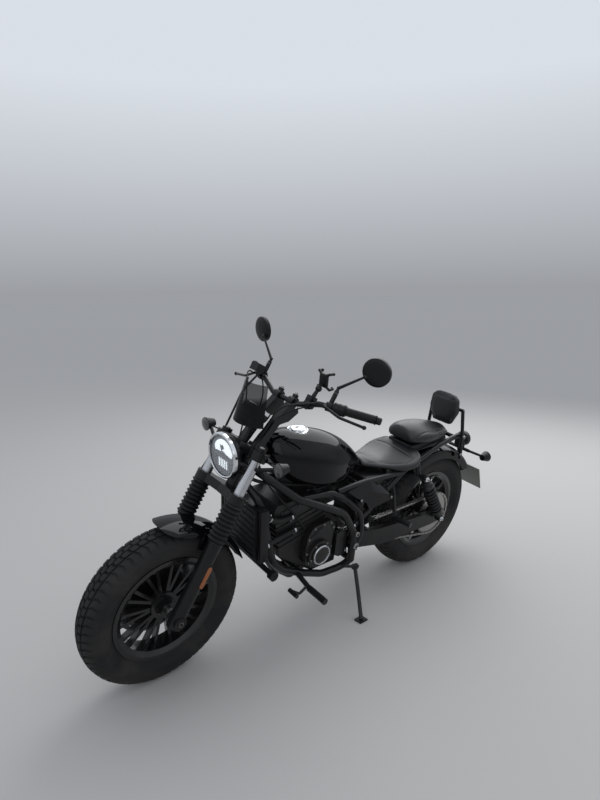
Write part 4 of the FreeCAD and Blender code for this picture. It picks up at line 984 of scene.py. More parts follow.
SIDES = (1, -1)
SIDE_NAMES = {1: "left", -1: "right"}
TO_SIDE = {side: aimed((0, 0, 0), (0, side, 0)) for side in SIDES}


def facing(side: int, *spot: float) -> Matrix:
    """Place whose Z points out of one side of the machine.

    Args:
        side: 1 for the left and -1 for the right.
        spot: Where it lies.

    Returns:
        The place.
    """
    return placed(*spot) @ TO_SIDE[side]


# Wheels


@dataclass
class Wheel:
    """Tyre with its tread, brake disc and the small fittings of one wheel, in the wheel's frame."""

    end: str
    mount: Mount
    radius: float
    width: float
    height: float
    rim_width: float
    disc_radius: float
    disc_place: float
    hub_width: float
    pitches: int = 60
    tread_depth: float = 6.0
    disc_band: float = 34.0
    disc_half: float = 2.5
    hub_bolts: int = 6
    bobbins: int = 8
    steps: int = 132
    # share of the width to the side, share of the section's height above the bead
    section: tuple[tuple[float, float], ...] = (
        (0.475, 0.28), (0.5, 0.5), (0.48, 0.7), (0.4, 0.865), (0.25, 0.96), (0.09, 1.0))
    # row of tread: inner and outer share of the way round the crown, lean and length in pitches
    rows: tuple[tuple[float, float, float, float], ...] = (
        (0.04, 0.36, 1.5, 0.74), (0.43, 1.0, 1.1, 0.7))

    def crown(self, share: float, lift: float) -> tuple[float, float]:
        """Side and radius of a point on the tread.

        Args:
            share: 0 at the middle and 1 at the shoulder.
            lift: Height over the outer surface, below it where negative.

        Returns:
            The point's side and radius.
        """
        stations = [(0.0, 1.0), *reversed(self.section[1:])]
        spot = min(share, 0.9999) * (len(stations) - 2)
        index = int(spot)
        low, high = stations[index], stations[index + 1]
        part = spot - index
        across = low[0] + (high[0] - low[0]) * part
        up = low[1] + (high[1] - low[1]) * part
        bead = self.radius - self.height
        return across * self.width * (1 + lift / 200), bead + up * self.height + lift * (1 - 0.5 * share)

    def tyre(self) -> None:
        """Builds the carcass and its tread blocks, which stand out to the solid tyre's surface."""
        bead = self.radius - self.height
        half = self.rim_width / 2 - 5
        side = [(half, bead), (half, bead + 12)]
        side += [(across * self.width, bead + up * (self.height - (self.tread_depth if up > 0.8 else 0)))
                 for across, up in self.section]
        outline = [(up, across) for across, up in side] + [(up, -across) for across, up in reversed(side)]
        carcass = Shape().spun(outline + outline[:1], TO_SIDE[1], self.steps)
        for across, up in ((0.492, 0.36), (0.497, 0.62)):
            spot = bead + self.height * up
            for hand in SIDES:
                carcass.ring(spot, 1.2, facing(1, 0, hand * (across * self.width - 1.6), 0), 96)
        carcass.publish(f"{self.end}_tyre_carcass", self.mount, TYRE_RUBBER,
                        [f"{self.end}_tyre"], crease=60)
        pitch = FULL_TURN / self.pitches
        tread = Shape()
        for inner, outer, lean, length in self.rows:
            for hand in SIDES:
                block = Shape()
                bmesh.ops.create_grid(block.mesh, x_segments=6, y_segments=1, size=0.5)
                grown = bmesh.ops.extrude_face_region(block.mesh, geom=list(block.mesh.faces))
                bmesh.ops.translate(block.mesh, vec=(0, 0, -1), verts=verts_of(grown))
                shift = 0.5 if hand < 0 else 0.0

                def wrapped(spot: Vector) -> Vector:
                    """A point of the flat block, bent onto the tyre.

                    Args:
                        spot: The flat point.

                    Returns:
                        The bent point.
                    """
                    share = inner + (outer - inner) * (spot.x + 0.5)
                    wide = 1.0 + (0.16 if spot.z < -0.5 else 0.0)
                    wave = 0.16 * math.sin(FULL_TURN * (spot.x + 0.5))
                    turn = pitch * (lean * share + shift + wave + length * spot.y * wide)
                    across, reach = self.crown(share, -self.tread_depth * 1.3 if spot.z < -0.5 else 0.0)
                    return Vector((reach * math.cos(turn), hand * across, reach * math.sin(turn)))

                block.move(wrapped)
                block.outward()
                spins = [rolled(-pitch * number, "Y") for number in range(self.pitches)]
                block.copies(spins)
                data = bpy.data.meshes.new("block")
                block.mesh.to_mesh(data)
                block.mesh.free()
                tread.absorb(data)
        tread.publish(f"{self.end}_tread", self.mount, TYRE_RUBBER, crease=40)

    def disc(self) -> None:
        """Builds the drilled band, its carrier with bobbins and the bolts."""
        near = self.disc_place - self.disc_half
        far = self.disc_place + self.disc_half
        inside = self.disc_radius - self.disc_band
        band = Shape().spun(((inside, near), (self.disc_radius, near), (self.disc_radius, far), (inside, far),
                             (inside, near)), TO_SIDE[-1], 96)
        chart = band.mesh.loops.layers.uv.new("chart")
        for face in band.mesh.faces:
            centre = face.calc_center_median()
            middle = math.atan2(centre.z, centre.x)
            for loop in face.loops:
                spot = loop.vert.co
                turn = math.atan2(spot.z, spot.x)
                turn += FULL_TURN * round((middle - turn) / FULL_TURN)
                loop[chart].uv = (turn / FULL_TURN, (Vector((spot.x, spot.z)).length - inside) / self.disc_band)
        band.publish(f"{self.end}_disc_band", self.mount, DrilledSteel(),
                     [f"{self.end}_disc"])
        face = self.hub_width / 2
        Shape().spun((
            (21, face), (54, face), (inside - 8, near + 0.5), (inside + 3, near + 0.5), (inside + 3, far - 0.5),
            (inside - 10, far - 0.5), (46, face + 5), (21, face + 5), (21, face)), TO_SIDE[-1], 60).publish(
            f"{self.end}_disc_carrier", self.mount, DISC_ALLOY)
        fittings = Shape()
        fittings.bolts(circle_places(self.hub_bolts, 36, facing(-1, 0, -face - 5, 0)), 6.0)
        for spot in circle_places(self.bobbins, inside + 1, facing(-1, 0, -far, 0), 0.2):
            fittings.spun(((6.5, -0.5), (6.5, 1.6), (3.5, 2.2), (0, 2.2)), spot, 16)
        fittings.publish(f"{self.end}_disc_bolts", self.mount, STEEL)

    def valve(self) -> None:
        """Builds the air valve in the rim's well."""
        bead = self.radius - self.height
        tip = Vector((0, 16, -(bead - 52)))
        Shape().bar((0, 10, -(bead - 20)), tip, 4.5, 3.4, 12).bar(tip, tip + Vector((0, 2, 9)), 4.2, 4.2, 12).publish(
            f"{self.end}_valve", self.mount, RUBBER)

    def build(self) -> None:
        """Builds the whole wheel's dressing."""
        self.tyre()
        self.disc()
        self.valve()


# Front end


@dataclass
class Headlight:
    """Lens, lamp units and rim of the round headlight, along the lamp's own axis."""

    radius: float = 88.0
    ring: float = 10.0
    face: tuple[float, float, float] = (117.0, 0.0, 602.0)

    def build(self) -> None:
        """Builds the reflector, its mask, the lit units, the glass and the rim."""
        mount = ON_STEER.at(aimed(Places.along_fork(*self.face), (1, 0, -0.03)))
        inner = self.radius - self.ring
        glass = inner - 0.6
        Shape().spun(((0, -7.6), (glass, -7.6), (glass, -4.5), (glass * 0.86, -5.6), (glass * 0.8, -7.0),
                      (0, -7.0)), None, 64).publish("headlight_reflector", mount, LAMP_BOWL, ["headlight_lens"])
        mask = Shape()
        # size, place, turn and rounding of each bar of the mask
        for size, spot, turn, bevel in (
                ((7, glass * 1.66, 3), (2, 0, -5.4), 0, 1), ((26, 5, 3), (-26, -14, -4.6), 0.5, 1),
                ((17, 17, 3), (-30, -6, -4.4), 0.7, 3), ((40, 20, 3), (34, 52, -5.6), 0.6, 2),
                ((40, 20, 3), (34, -52, -5.6), -0.6, 2)):
            mask.block(size, placed(*spot) @ rolled(turn, "Z"), bevel)
        mask.ring(glass * 0.9, 3.6, placed(0, 0, -5.5), 64)
        mask.publish("headlight_mask", mount, MOULDED)
        lit = Shape()
        rise = [(-62 * math.cos(0.2 * k), 62 * math.sin(0.2 * k)) for k in range(-6, 7)]
        lit.slab([(-6, -52), *rise, (-6, 52), (-10, 20), (-16, 0), (-10, -20)], 2.2,
                 placed(0, 0, -7.0), 0.6)
        for side in (-27, -15, -3, 9, 21):
            lit.block((34, 5.2, 2.2), placed(34, side + 3, -5.9) @ rolled(0.12, "Z"), 0.8)
        lit.publish("headlight_units", mount, LAMP)
        dome = [(glass * math.sin(0.13 * k), -3.0 + 6.5 * (math.cos(0.13 * k) - math.cos(1.56))) for k in range(13)]
        dome[0] = (0.0, dome[0][1])
        Shape().spun(dome + [(glass, -3.4)] + [(r * 0.985, z - 1.2) for r, z in reversed(dome)], None, 72).publish(
            "headlight_glass", mount, LENS, crease=50)
        Shape().spun(((inner, -1.5), (inner, 3.0), (inner + 3, 5.5), (self.radius - 3, 4.6),
                      (self.radius + 0.5, 0.5), (self.radius + 0.5, -9), (self.radius - 1, -9)), None, 96).publish(
            "headlight_rim", mount, CHROME)


@dataclass
class Dial:
    """Bowl, face, bright rim and marks of the round instrument."""

    radius: float = 56.0
    site: Point = (62, 0, 815)
    facing: Point = (-0.62, 0, 0.78)
    ticks: int = 41
    numbered: int = 9
    sweep: float = math.radians(250)

    def build(self) -> None:
        """Builds bowl, rim, face, marks, needle and numbers."""
        edge = self.radius
        mount = ON_STEER.at(aimed(Places.along_fork(*self.site), self.facing))
        bowl = Shape().spun(((0, -1), (edge - 1, -1), (edge, -3), (edge, -20), (edge - 4, -34), (edge - 13, -46),
                             (edge - 27, -53), (0, -55)), None, 64)
        lower = mount.place.inverted() @ PLACES.fork
        for foot, top, radius in (((48, 0, 683), (48, 0, 782), 11), ((62, -22, 790), (88, -22, 774), 6),
                                  ((62, 22, 790), (88, 22, 774), 6)):
            bowl.bar(lower @ Vector(foot), lower @ Vector(top), radius)
        bowl.publish("dial_bowl", mount, MOULDED, ["instrument_pod"])
        Shape().spun(((edge - 7, 0.2), (edge - 6, 4), (edge - 3, 6), (edge + 0.5, 3), (edge + 0.5, -9)),
                     None, 72).publish("dial_rim", mount, CHROME)
        Shape().spun(((0, 1.5), (edge - 6.2, 1.2), (edge - 6.2, 0.2)), None, 64).publish(
            "dial_face", mount, GLASS_BLACK)
        marks = Shape()
        start = -self.sweep / 2
        for number in range(self.ticks):
            turn = start + self.sweep * number / (self.ticks - 1)
            long, wide = (7, 1.3) if number % 5 == 0 else (3.5, 0.7)
            marks.block((long, wide, 0.5), rolled(turn, "Z") @ placed(45 - long / 2, 0, 1.7))
        marks.block((26, 2.0, 0.8), rolled(start + 0.35, "Z") @ placed(17, 0, 2.4))
        marks.publish("dial_marks", mount, MARKS)
        self.numbers(mount, start)

    def numbers(self, mount: Mount, start: float) -> None:
        """Sets the plain numbers of the scale.

        Args:
            mount: The dial's frame.
            start: Angle of the first one.
        """
        whole = Shape()
        for step in range(self.numbered):
            turn = start + self.sweep * step / (self.numbered - 1)
            text = bpy.data.curves.new("number", "FONT")
            text.body = str(step * 2)
            text.size = 8.5
            text.extrude = 0.25
            text.align_x = "CENTER"
            text.align_y = "CENTER"
            holder = linked("number", text)
            data = shown(holder)
            bpy.data.objects.remove(holder)
            spot = Vector((math.cos(turn), math.sin(turn), 0)) * 32 + Vector((0, 0, 1.7))
            data.transform(Matrix.Translation(spot) @ rolled(-math.pi / 2, "Z"))
            whole.absorb(data)
        whole.publish("dial_numbers", mount, MARKS)


@dataclass
class Bars:
    """Grips, mirrors, switches and bolts of the handlebar."""

    bar_end: Vector = Vector((-147, 363, 970))
    corner: Vector = Vector((-55, 165, 933))
    clamp: Vector = Vector((-48, 0, 896))
    riser_spacing: float = 43.0
    fork_offset: float = 55.0
    fork_spacing: float = 108.0
    grip_length: float = 122.0
    mirror_reach: float = 182.0
    # ahead of, beside and up along the steering axis
    mirror_head: Point = (-68, 330, 1121)
    ribs: int = 17

    def grips(self) -> None:
        """Builds the ribbed grips with their collars and bar-end weights."""
        run = (self.corner - self.bar_end).normalized()
        outline = [(11.3, 0), (17.5, 0), (17.5, 4), (15.2, 6)]
        pitch = (self.grip_length - 18) / self.ribs
        for rib in range(self.ribs):
            foot = 8 + rib * pitch
            outline += [(reach, foot + pitch * share)
                        for reach, share in ((15.0, 0), (16.5, 0.25), (16.5, 0.7), (15.0, 0.95))]
        end = self.grip_length
        outline += [(15.2, end - 8), (20.0, end - 6), (20.0, end - 3), (16.0, end - 2), (11.3, end - 2), (11.3, 0)]
        Shape().spun(outline, aimed(self.bar_end, run), 40).twins().publish(
            "ribbed_grips", ON_FORK, RUBBER, ["grips"], crease=50)
        Shape().spun(((0, 0), (10, 0), (14, 3), (14.5, 14), (12, 18.5), (0, 18.5)),
                     aimed(self.bar_end - run * 19, run), 32).twins().publish("bar_weights", ON_FORK, SATIN)

    def bolts(self) -> None:
        """Builds the clamp bolts of the risers and the top clamp's nuts."""
        fixings = Shape()
        bright = Shape()
        for side in SIDES:
            bright.spun(((0, 3.4), (4.6, 3.2), (6.4, 1.6), (6.4, -1)),
                        aimed((-64, side * (self.riser_spacing + 15.4), 880), (0, side, 0)), 24)
        bright.publish("riser_caps", ON_FORK, CHROME)
        for side in SIDES:
            top = self.clamp + Vector((0, side * self.riser_spacing, 31))
            fixings.bolt(aimed(top, (0, 0, 1)), 6.5)
            fixings.bolt(aimed((-60, side * self.riser_spacing, 868), (-0.85, 0, -0.5)), 5.0)
            fixings.bolt(aimed((self.fork_offset, side * self.fork_spacing, 694), (0, 0, 1)), 10.0, 5.0)
        for side in SIDES:
            for up in (480, 495):
                fixings.bolt(aimed((self.fork_offset - 33, side * (self.fork_spacing + 10), up),
                                   (-1, 0.1 * side, 0)), 4.5)
            fixings.bolt(aimed((self.fork_offset - 26, side * self.fork_spacing, 12), (-1, 0, 0)), 5.0)
        fixings.publish("bar_bolts", ON_FORK, STEEL)

    def mirrors(self) -> None:
        """Builds the stem, shell, glass and domed back of each mirror."""
        stems = Shape()
        run = (self.corner - self.bar_end).normalized()
        middle = self.bar_end + run * self.mirror_reach
        raked = PLACES.steer.inverted() @ PLACES.fork
        up = Places.along_fork(0, 0, 1) - Places.along_fork(0, 0, 0)
        for side, turn, name in ((1, -20, "left"), (-1, -6, "right")):
            centre = Places.along_fork(self.mirror_head[0], side * self.mirror_head[1], self.mirror_head[2])
            foot = raked @ Vector((middle.x, side * middle.y, middle.z + 57))
            neck = foot + up * 24
            stems.spun(((0, 0), (9, 0), (9, 6), (6.5, 10), (6.5, 22), (0, 24)), aimed(foot, up), 20)
            near = centre + (neck - centre).normalized() * 44 - Vector((-7, 0, 0))
            stems.bar(neck - up * 4, near, 6.4, 4.4, 16)
            stems.ball(neck - up * 3, 7.2)
            stems.bar(near, centre + (neck - centre).normalized() * 32, 8.5, 8.5, 20)
            stems.ball(near, 8.6)
            facing = rolled(math.radians(-side * turn), "Z") @ Vector((-1, 0, 0.08))
            facing.normalize()
            place = aimed(centre + facing * 7, facing)
            Shape().spun(((0, 0.8), (50, 0.8), (51, 0.1), (51, -0.3)), place, 64).publish(
                f"{name}_mirror_glass", ON_STEER, MIRROR)
            back = aimed(centre - facing * 7, -facing)
            Shape().spun(((0, 8), (20, 7.2), (38, 4.6), (49, 1.8), (54, -2), (54, -4)), back, 64).publish(
                f"{name}_mirror_back", ON_STEER, MOULDED)
            shell = Shape().spun(((0, 6.6), (51.4, 6.6), (51.8, 8), (54, 7.4), (54, -5), (52, -7), (0, -7.2)),
                                 aimed(centre, facing), 72)
            shell.publish(f"{name}_mirror_shell", ON_STEER, MOULDED)
        stems.publish("mirror_stems", ON_STEER, SATIN, ["mirrors"])

    def switches(self) -> None:
        """Builds the seams and buttons of the switch housings."""
        run = (self.corner - self.bar_end).normalized()
        start = self.bar_end + run * (self.grip_length - 2)
        seam = Shape()
        for along in (22, 3, 41):
            seam.ring(22.2, 0.9, aimed(start + run * along, run), 40)
        back = Vector((-1, -0.42, 0.1)).normalized()
        for along, up in ((10, 4), (22, -6), (33, 6)):
            spot = start + run * along + Vector((0, 0, up)) + back * 19
            seam.spun(((0, 5), (3.6, 5), (4.4, 3.6), (4.4, 0)), aimed(spot, back), 16)
        seam.twins().publish("switch_details", ON_FORK, RUBBER)

    def build(self) -> None:
        """Builds all that sits on the bar."""
        self.grips()
        self.bolts()
        self.mirrors()
        self.switches()


@dataclass
class ForkTrim:
    """Reflectors, gaiter clips and lamp lenses that turn with the fork."""

    spacing: float = 108.0
    offset: float = 55.0
    # ahead of, beside and up along the steering axis
    indicator: Point = (43, 234, 668)

    def indicator_face(self, side: int) -> Vector:
        """Middle of one indicator's front face."""
        ahead, beside, up = self.indicator
        return Places.along_fork(ahead, side * beside, up) + Vector((20, 0, 0))

    def build(self) -> None:
        """Builds the trim."""
        ends = [(9 * math.cos(a), 34 + 9 * math.sin(a)) for a in (0, 0.52, 1.05, 1.57, 2.09, 2.62, 3.14)]
        pill = ends + [(-x, -y) for x, y in ends]
        reflector = Shape().slab(pill, 5, placed(46, self.spacing + 31.5, 186) @ Matrix.Rotation(
            math.pi / 2, 4, "X"), 1.4)
        reflector.twins().publish("fork_reflectors", ON_FORK, AMBER)
        holder = Shape().block((23, 5, 94), placed(46, self.spacing + 26.2, 186), 2)
        holder.twins().publish("reflector_holders", ON_FORK, MOULDED)
        clips = Shape()
        for up, radius in ((316, 30.5), (472, 31.5)):
            clips.ring(radius, 2.0, placed(self.offset, self.spacing, up), 48)
        clips.twins().publish("gaiter_clips", ON_FORK, SATIN)
        lenses = Shape()
        cuffs = Shape()
        for side in SIDES:
            place = aimed(self.indicator_face(side), (1, 0, 0))
            lenses.spun(((0, 7.2), (10, 6.8), (19, 4.8), (25, 1.4), (25.5, 0.2)), place, 40)
            cuffs.ring(26.2, 1.6, place, 48)
        lenses.publish("front_indicator_lenses", ON_STEER, SMOKE)
        cuffs.publish("front_indicator_rims", ON_STEER, MOULDED)


# Drive and engine


@dataclass
class ChainDrive:
    """Roller chain and toothed sprocket on the left, in the machine's frame."""

    pitch: float = 15.875
    front_teeth: int = 15
    rear_teeth: int = 45
    plate_waist: float = 4.6
    plate_end: float = 6.6
    plate_thickness: float = 1.8
    pin: float = 2.4
    roller: float = 5.0
    # radius of a tooth's tip, flank, foot and flank, from the pins' circle
    tooth: tuple[float, float, float, float] = (4.0, -1.5, -4.8, -1.5)
    ring_inside: float = 70.0
    ring_thickness: float = 5.0
    front: Vector = Vector((-62, 98, 384))
    rear: Vector = Vector((-740, 98, 323))

    def pitch_radius(self, teeth: int) -> float:
        """Radius of the circle that the pins run on."""
        return self.pitch / (2 * math.sin(math.pi / teeth))

    def line(self) -> Callable[[float], tuple[Vector, Vector]]:
        """The belt line as a function of the length along it.

        Returns:
            A function that gives the point and the direction, and its whole length as its attribute.
        """
        small, large = self.pitch_radius(self.front_teeth), self.pitch_radius(self.rear_teeth)
        way = self.rear - self.front
        along = way.normalized()
        lift = Vector((along.z, 0, -along.x))
        slope = math.asin((large - small) / way.length)
        upper = lift * math.cos(slope) - along * math.sin(slope)
        lower = lift * -math.cos(slope) - along * math.sin(slope)
        straight = math.sqrt(way.length ** 2 - (large - small) ** 2)
        big_turn = math.pi + 2 * slope
        small_turn = math.pi - 2 * slope
        ahead = Vector((upper.z, 0, -upper.x))
        if ahead.dot(along) < 0:
            ahead.negate()

        def at(length: float) -> tuple[Vector, Vector]:
            """Point and direction at a length along the line.

            Args:
                length: The length, from the top of the small sprocket.

            Returns:
                The point and the direction.
            """
            if length < straight:
                return self.front + upper * small + ahead * length, ahead
            length -= straight
            if length < big_turn * large:
                turn = Matrix.Rotation(self.sense(upper, along) * length / large, 3, "Y")
                return self.rear + turn @ upper * large, turn @ ahead
            length -= big_turn * large
            back = (self.front + lower * small) - (self.rear + lower * large)
            if length < straight:
                return self.rear + lower * large + back.normalized() * length, back.normalized()
            length -= straight
            turn = Matrix.Rotation(self.sense(upper, along) * length / small, 3, "Y")
            return self.front + turn @ lower * small, turn @ back.normalized()

        at.length = 2 * straight + big_turn * large + small_turn * small
        return at

    def sense(self, upper: Vector, along: Vector) -> float:
        """Sign of the turn that carries the upper side towards the rear."""
        turned = Matrix.Rotation(0.1, 3, "Y") @ upper
        return 1.0 if turned.dot(along) > upper.dot(along) else -1.0

    def link(self, outer: bool) -> Shape:
        """One pair of plates with its pin ends, about the middle of a pitch along X.

        Args:
            outer: Whether it is an outer pair, with pins, or an inner one, with rollers.

        Returns:
            The link.
        """
        shape = Shape()
        half = self.pitch / 2
        turns = (-1.1, -0.5, 0, 0.5, 1.1)
        outline = [(-half - self.plate_end * math.cos(a), self.plate_end * math.sin(a)) for a in turns]
        outline += [(0, self.plate_waist)]
        outline += [(half + self.plate_end * math.cos(a), self.plate_end * math.sin(a)) for a in reversed(turns)]
        outline += [(0, -self.plate_waist)]
        reach = 6.6 if outer else 4.4
        for hand in SIDES:
            base = placed(0, hand * reach - 0.9, 0) @ rolled(-math.pi / 2, "X")
            shape.slab(outline, self.plate_thickness, base)
            if outer:
                for spot in (-half, half):
                    shape.bar((spot, hand * reach, 0), (spot, hand * (reach + 1.6), 0), self.pin, steps=8)
        if not outer:
            for spot in (-half, half):
                shape.bar((spot, -4, 0), (spot, 4, 0), self.roller, steps=10)
        return shape

    def chain(self) -> None:
        """Lays the links along the belt line."""
        line = self.line()
        count = 2 * round(line.length / self.pitch / 2)
        step = line.length / count
        for outer, name in ((True, "outer_links"), (False, "inner_links")):
            places = []
            for number in range(0 if outer else 1, count, 2):
                first, _ahead = line((number * step) % line.length)
                second, _ahead = line(((number + 1) * step) % line.length)
                middle = (first + second) / 2
                ahead = (second - first).normalized()
                places.append(rig(middle, ahead, ACROSS, ahead.cross(ACROSS)))
            piece = self.link(outer).copies(places)
            piece.publish(f"chain_{name}", ON_BIKE, STEEL,
                          ["chain"] if outer else [], crease=40)

    def sprocket(self) -> None:
        """Builds the toothed ring, its carrier and its nuts."""
        shape = Shape()
        made = bmesh.ops.create_circle(shape.mesh, cap_ends=False, segments=self.rear_teeth * 4, radius=1.0)
        tip = self.pitch_radius(self.rear_teeth)
        for vert in made["verts"]:
            place = math.atan2(vert.co.y, vert.co.x) / FULL_TURN * self.rear_teeth * 4
            step = round(place) % 4
            vert.co *= tip + self.tooth[step]
        ring = list({edge for vert in made["verts"] for edge in vert.link_edges})
        inner = bmesh.ops.extrude_edge_only(shape.mesh, edges=ring)
        for vert in verts_of(inner):
            vert.co = vert.co.normalized() * self.ring_inside
        flat = list(shape.mesh.faces)
        grown = bmesh.ops.extrude_face_region(shape.mesh, geom=flat)
        top = verts_of(grown)
        bmesh.ops.translate(shape.mesh, vec=(0, 0, self.ring_thickness), verts=top)
        shape.outward()
        shape.take(shape.mesh.verts, facing(1, 0, 95.5, 0))
        shape.publish("toothed_sprocket", ON_REAR_WHEEL, STEEL, ["rear_sprocket"])
        Shape().spun(((21, 60), (66, 60), (74, 92), (76, 95.4), (66, 95.4), (50, 98), (21, 98), (21, 60)),
                     TO_SIDE[1], 60).publish("sprocket_carrier", ON_REAR_WHEEL, ALLOY)
        nuts = Shape()
        for spot in circle_places(5, 58, facing(1, 0, 97, 0)):
            nuts.nut(spot @ placed(0, 0, 3), 8, 7)
            nuts.bar(spot @ Vector((0, 0, 4)), spot @ Vector((0, 0, 10)), 4.2, steps=12)
        nuts.publish("sprocket_nuts", ON_REAR_WHEEL, STEEL)

    def build(self) -> None:
        """Builds the chain and its rear sprocket."""
        self.chain()
        self.sprocket()


@dataclass
class EngineTrim:
    """Bolts, rings, pipes and leads of the engine, in the machine's frame."""

    cover_face: float = 124.0
    case_half: float = 84.0

    def covers(self) -> None:
        """Builds the cover bolts, the cap's bright ring and its slot."""
        bolts = Shape()
        for x, z in ((10, 390), (24, 346), (128, 346), (142, 392), (138, 462), (110, 505), (62, 514), (22, 512),
                     (4, 484)):
            bolts.bolt(facing(1, x, self.cover_face, z), 5.5)
        bolts.bolts(circle_places(5, 54, facing(1, 76, self.case_half + 54, 380), 0.3), 4.5)
        bolts.bolts(circle_places(9, 82, facing(-1, 30, -self.case_half - 46, 372), 0.2), 5.5)
        bolts.bolts(circle_places(4, 52, facing(-1, 150, -self.case_half - 32, 394), 0.9), 5.0)
        for x, z in ((-20, 440), (-22, 352), (-66, 342), (-70, 430)):
            bolts.bolt(facing(1, x, 124.2, z), 5.0)
        bolts.publish("cover_bolts", ON_BIKE, STEEL)
        Shape().spun(((38, 0.2), (39, 2.6), (43.5, 3.0), (45.6, 0.6), (45.6, -4)),
                     facing(1, 76, self.case_half + 64, 380), 64).publish("cap_ring", ON_BIKE, SILVER)
        cap = Shape().spun(((0, 3.4), (24, 3.0), (33, 1.6), (37, 0.2)), facing(1, 76, self.case_half + 64, 380), 48)
        cap.block((30, 4, 3), facing(1, 76, self.case_half + 67.5, 380), 1)
        cap.publish("cap_face", ON_BIKE, COVER)
        ribs = Shape()
        for x, z, turn, length in ((112, 470, 0.35, 60), (96, 486, 0.35, 74), (80, 500, 0.35, 60)):
            spot = facing(1, x, self.cover_face + 0.5, z) @ rolled(turn, "Z")
            ribs.block((length, 5, 3), spot, 1.2)
        ribs.publish("cover_ribs", ON_BIKE, COVER)

    def head(self) -> None:
        """Builds the head's covers, plug caps and flange nuts."""
        cover = Shape()
        tilt = rolled(math.radians(13), "Y")
        for side in SIDES:
            place = placed(190, side * 96, 618) @ tilt
            cover.block((180, 8, 44), place, 4)
            for x in (-70, 0, 70):
                cover.spun(((0, 3), (6, 3), (7, 1.5), (7, 0)), place @ aimed((x, side * 4, 12), (0, side, 0)), 16)
        cover.publish("head_side_covers", ON_BIKE, COVER)
        fixings = Shape()
        for side in SIDES:
            for spread in (-24, 24):
                fixings.bolt(aimed((310, side * 45 + spread, 604), (0.9, 0, -0.35)), 6.0)
        fixings.publish("flange_nuts", ON_BIKE, STEEL)
        for side, name in SIDE_NAMES.items():
            lead = line_mesh(f"{name}_plug_lead", (
                (150, side * 104, 632), (168, side * 116, 640), (206, side * 112, 654), (240, side * 92, 672),
                (262, side * 70, 690)), 4.0, PLACES.bike)
            settled(lead, "frame", RUBBER)

    def pipes(self) -> None:
        """Builds the coolant pipes on the left, with their clips."""
        runs = (
            ("upper_coolant_hose", ((372, 128, 640), (352, 124, 622), (316, 116, 596), (262, 108, 588),
                                    (214, 104, 590))),
            ("lower_coolant_hose", ((372, 122, 500), (346, 118, 506), (300, 108, 510), (240, 106, 516),
                                    (190, 102, 524))),
        )
        clips = Shape()
        for name, points in runs:
            spots = [Vector(point) for point in points]
            settled(line_mesh(name, spots, 12.0, PLACES.bike), "frame", RUBBER)
            for first, second in ((spots[-1], spots[-2]), (spots[0], spots[1])):
                run = (second - first).normalized()
                clips.spun(((12.2, -4), (13.4, -4), (13.4, 4), (12.2, 4)), aimed(first + run * 18, run), 32)
                clips.block((9, 6, 8), aimed(first + run * 18, run) @ placed(15, 0, 0), 1)
        clips.publish("hose_clips", ON_BIKE, SILVER)

    def build(self) -> None:
        """Builds the engine's trim."""
        self.covers()
        self.head()
        self.pipes()


@dataclass
class RadiatorTrim:
    """Core and frame of the radiator."""

    width: float = 290.0
    height: float = 228.0
    depth: float = 34.0

    def build(self) -> None:
        """Builds the finned front and its frame."""
        mount = ON_BIKE.at(placed(382, 0, 452)).at(rolled(math.radians(3), "Y"))
        Shape().block((2, self.width - 76, self.height - 26),
                      placed(self.depth / 2 + 0.6, 0, self.height / 2)).publish("radiator_core", mount, CoolerCore())
        rails = Shape()
        for up in (7, self.height - 7):
            rails.block((8, self.width - 60, 12), placed(self.depth / 2 + 2, 0, up), 2)
        for side in SIDES:
            rails.block((8, 12, self.height - 8),
                        placed(self.depth / 2 + 2, side * (self.width / 2 - 34), self.height / 2), 2)
            rails.block((self.depth + 6, 14, self.height - 4),
                        placed(1, side * (self.width / 2 - 6), self.height / 2), 4)
        for row in range(1, 8):
            rails.block((3, self.width - 78, 2.4), placed(self.depth / 2 + 3, 0, self.height * row / 8))
        rails.publish("radiator_frame", mount, MOULDED)


# Seats and rear end


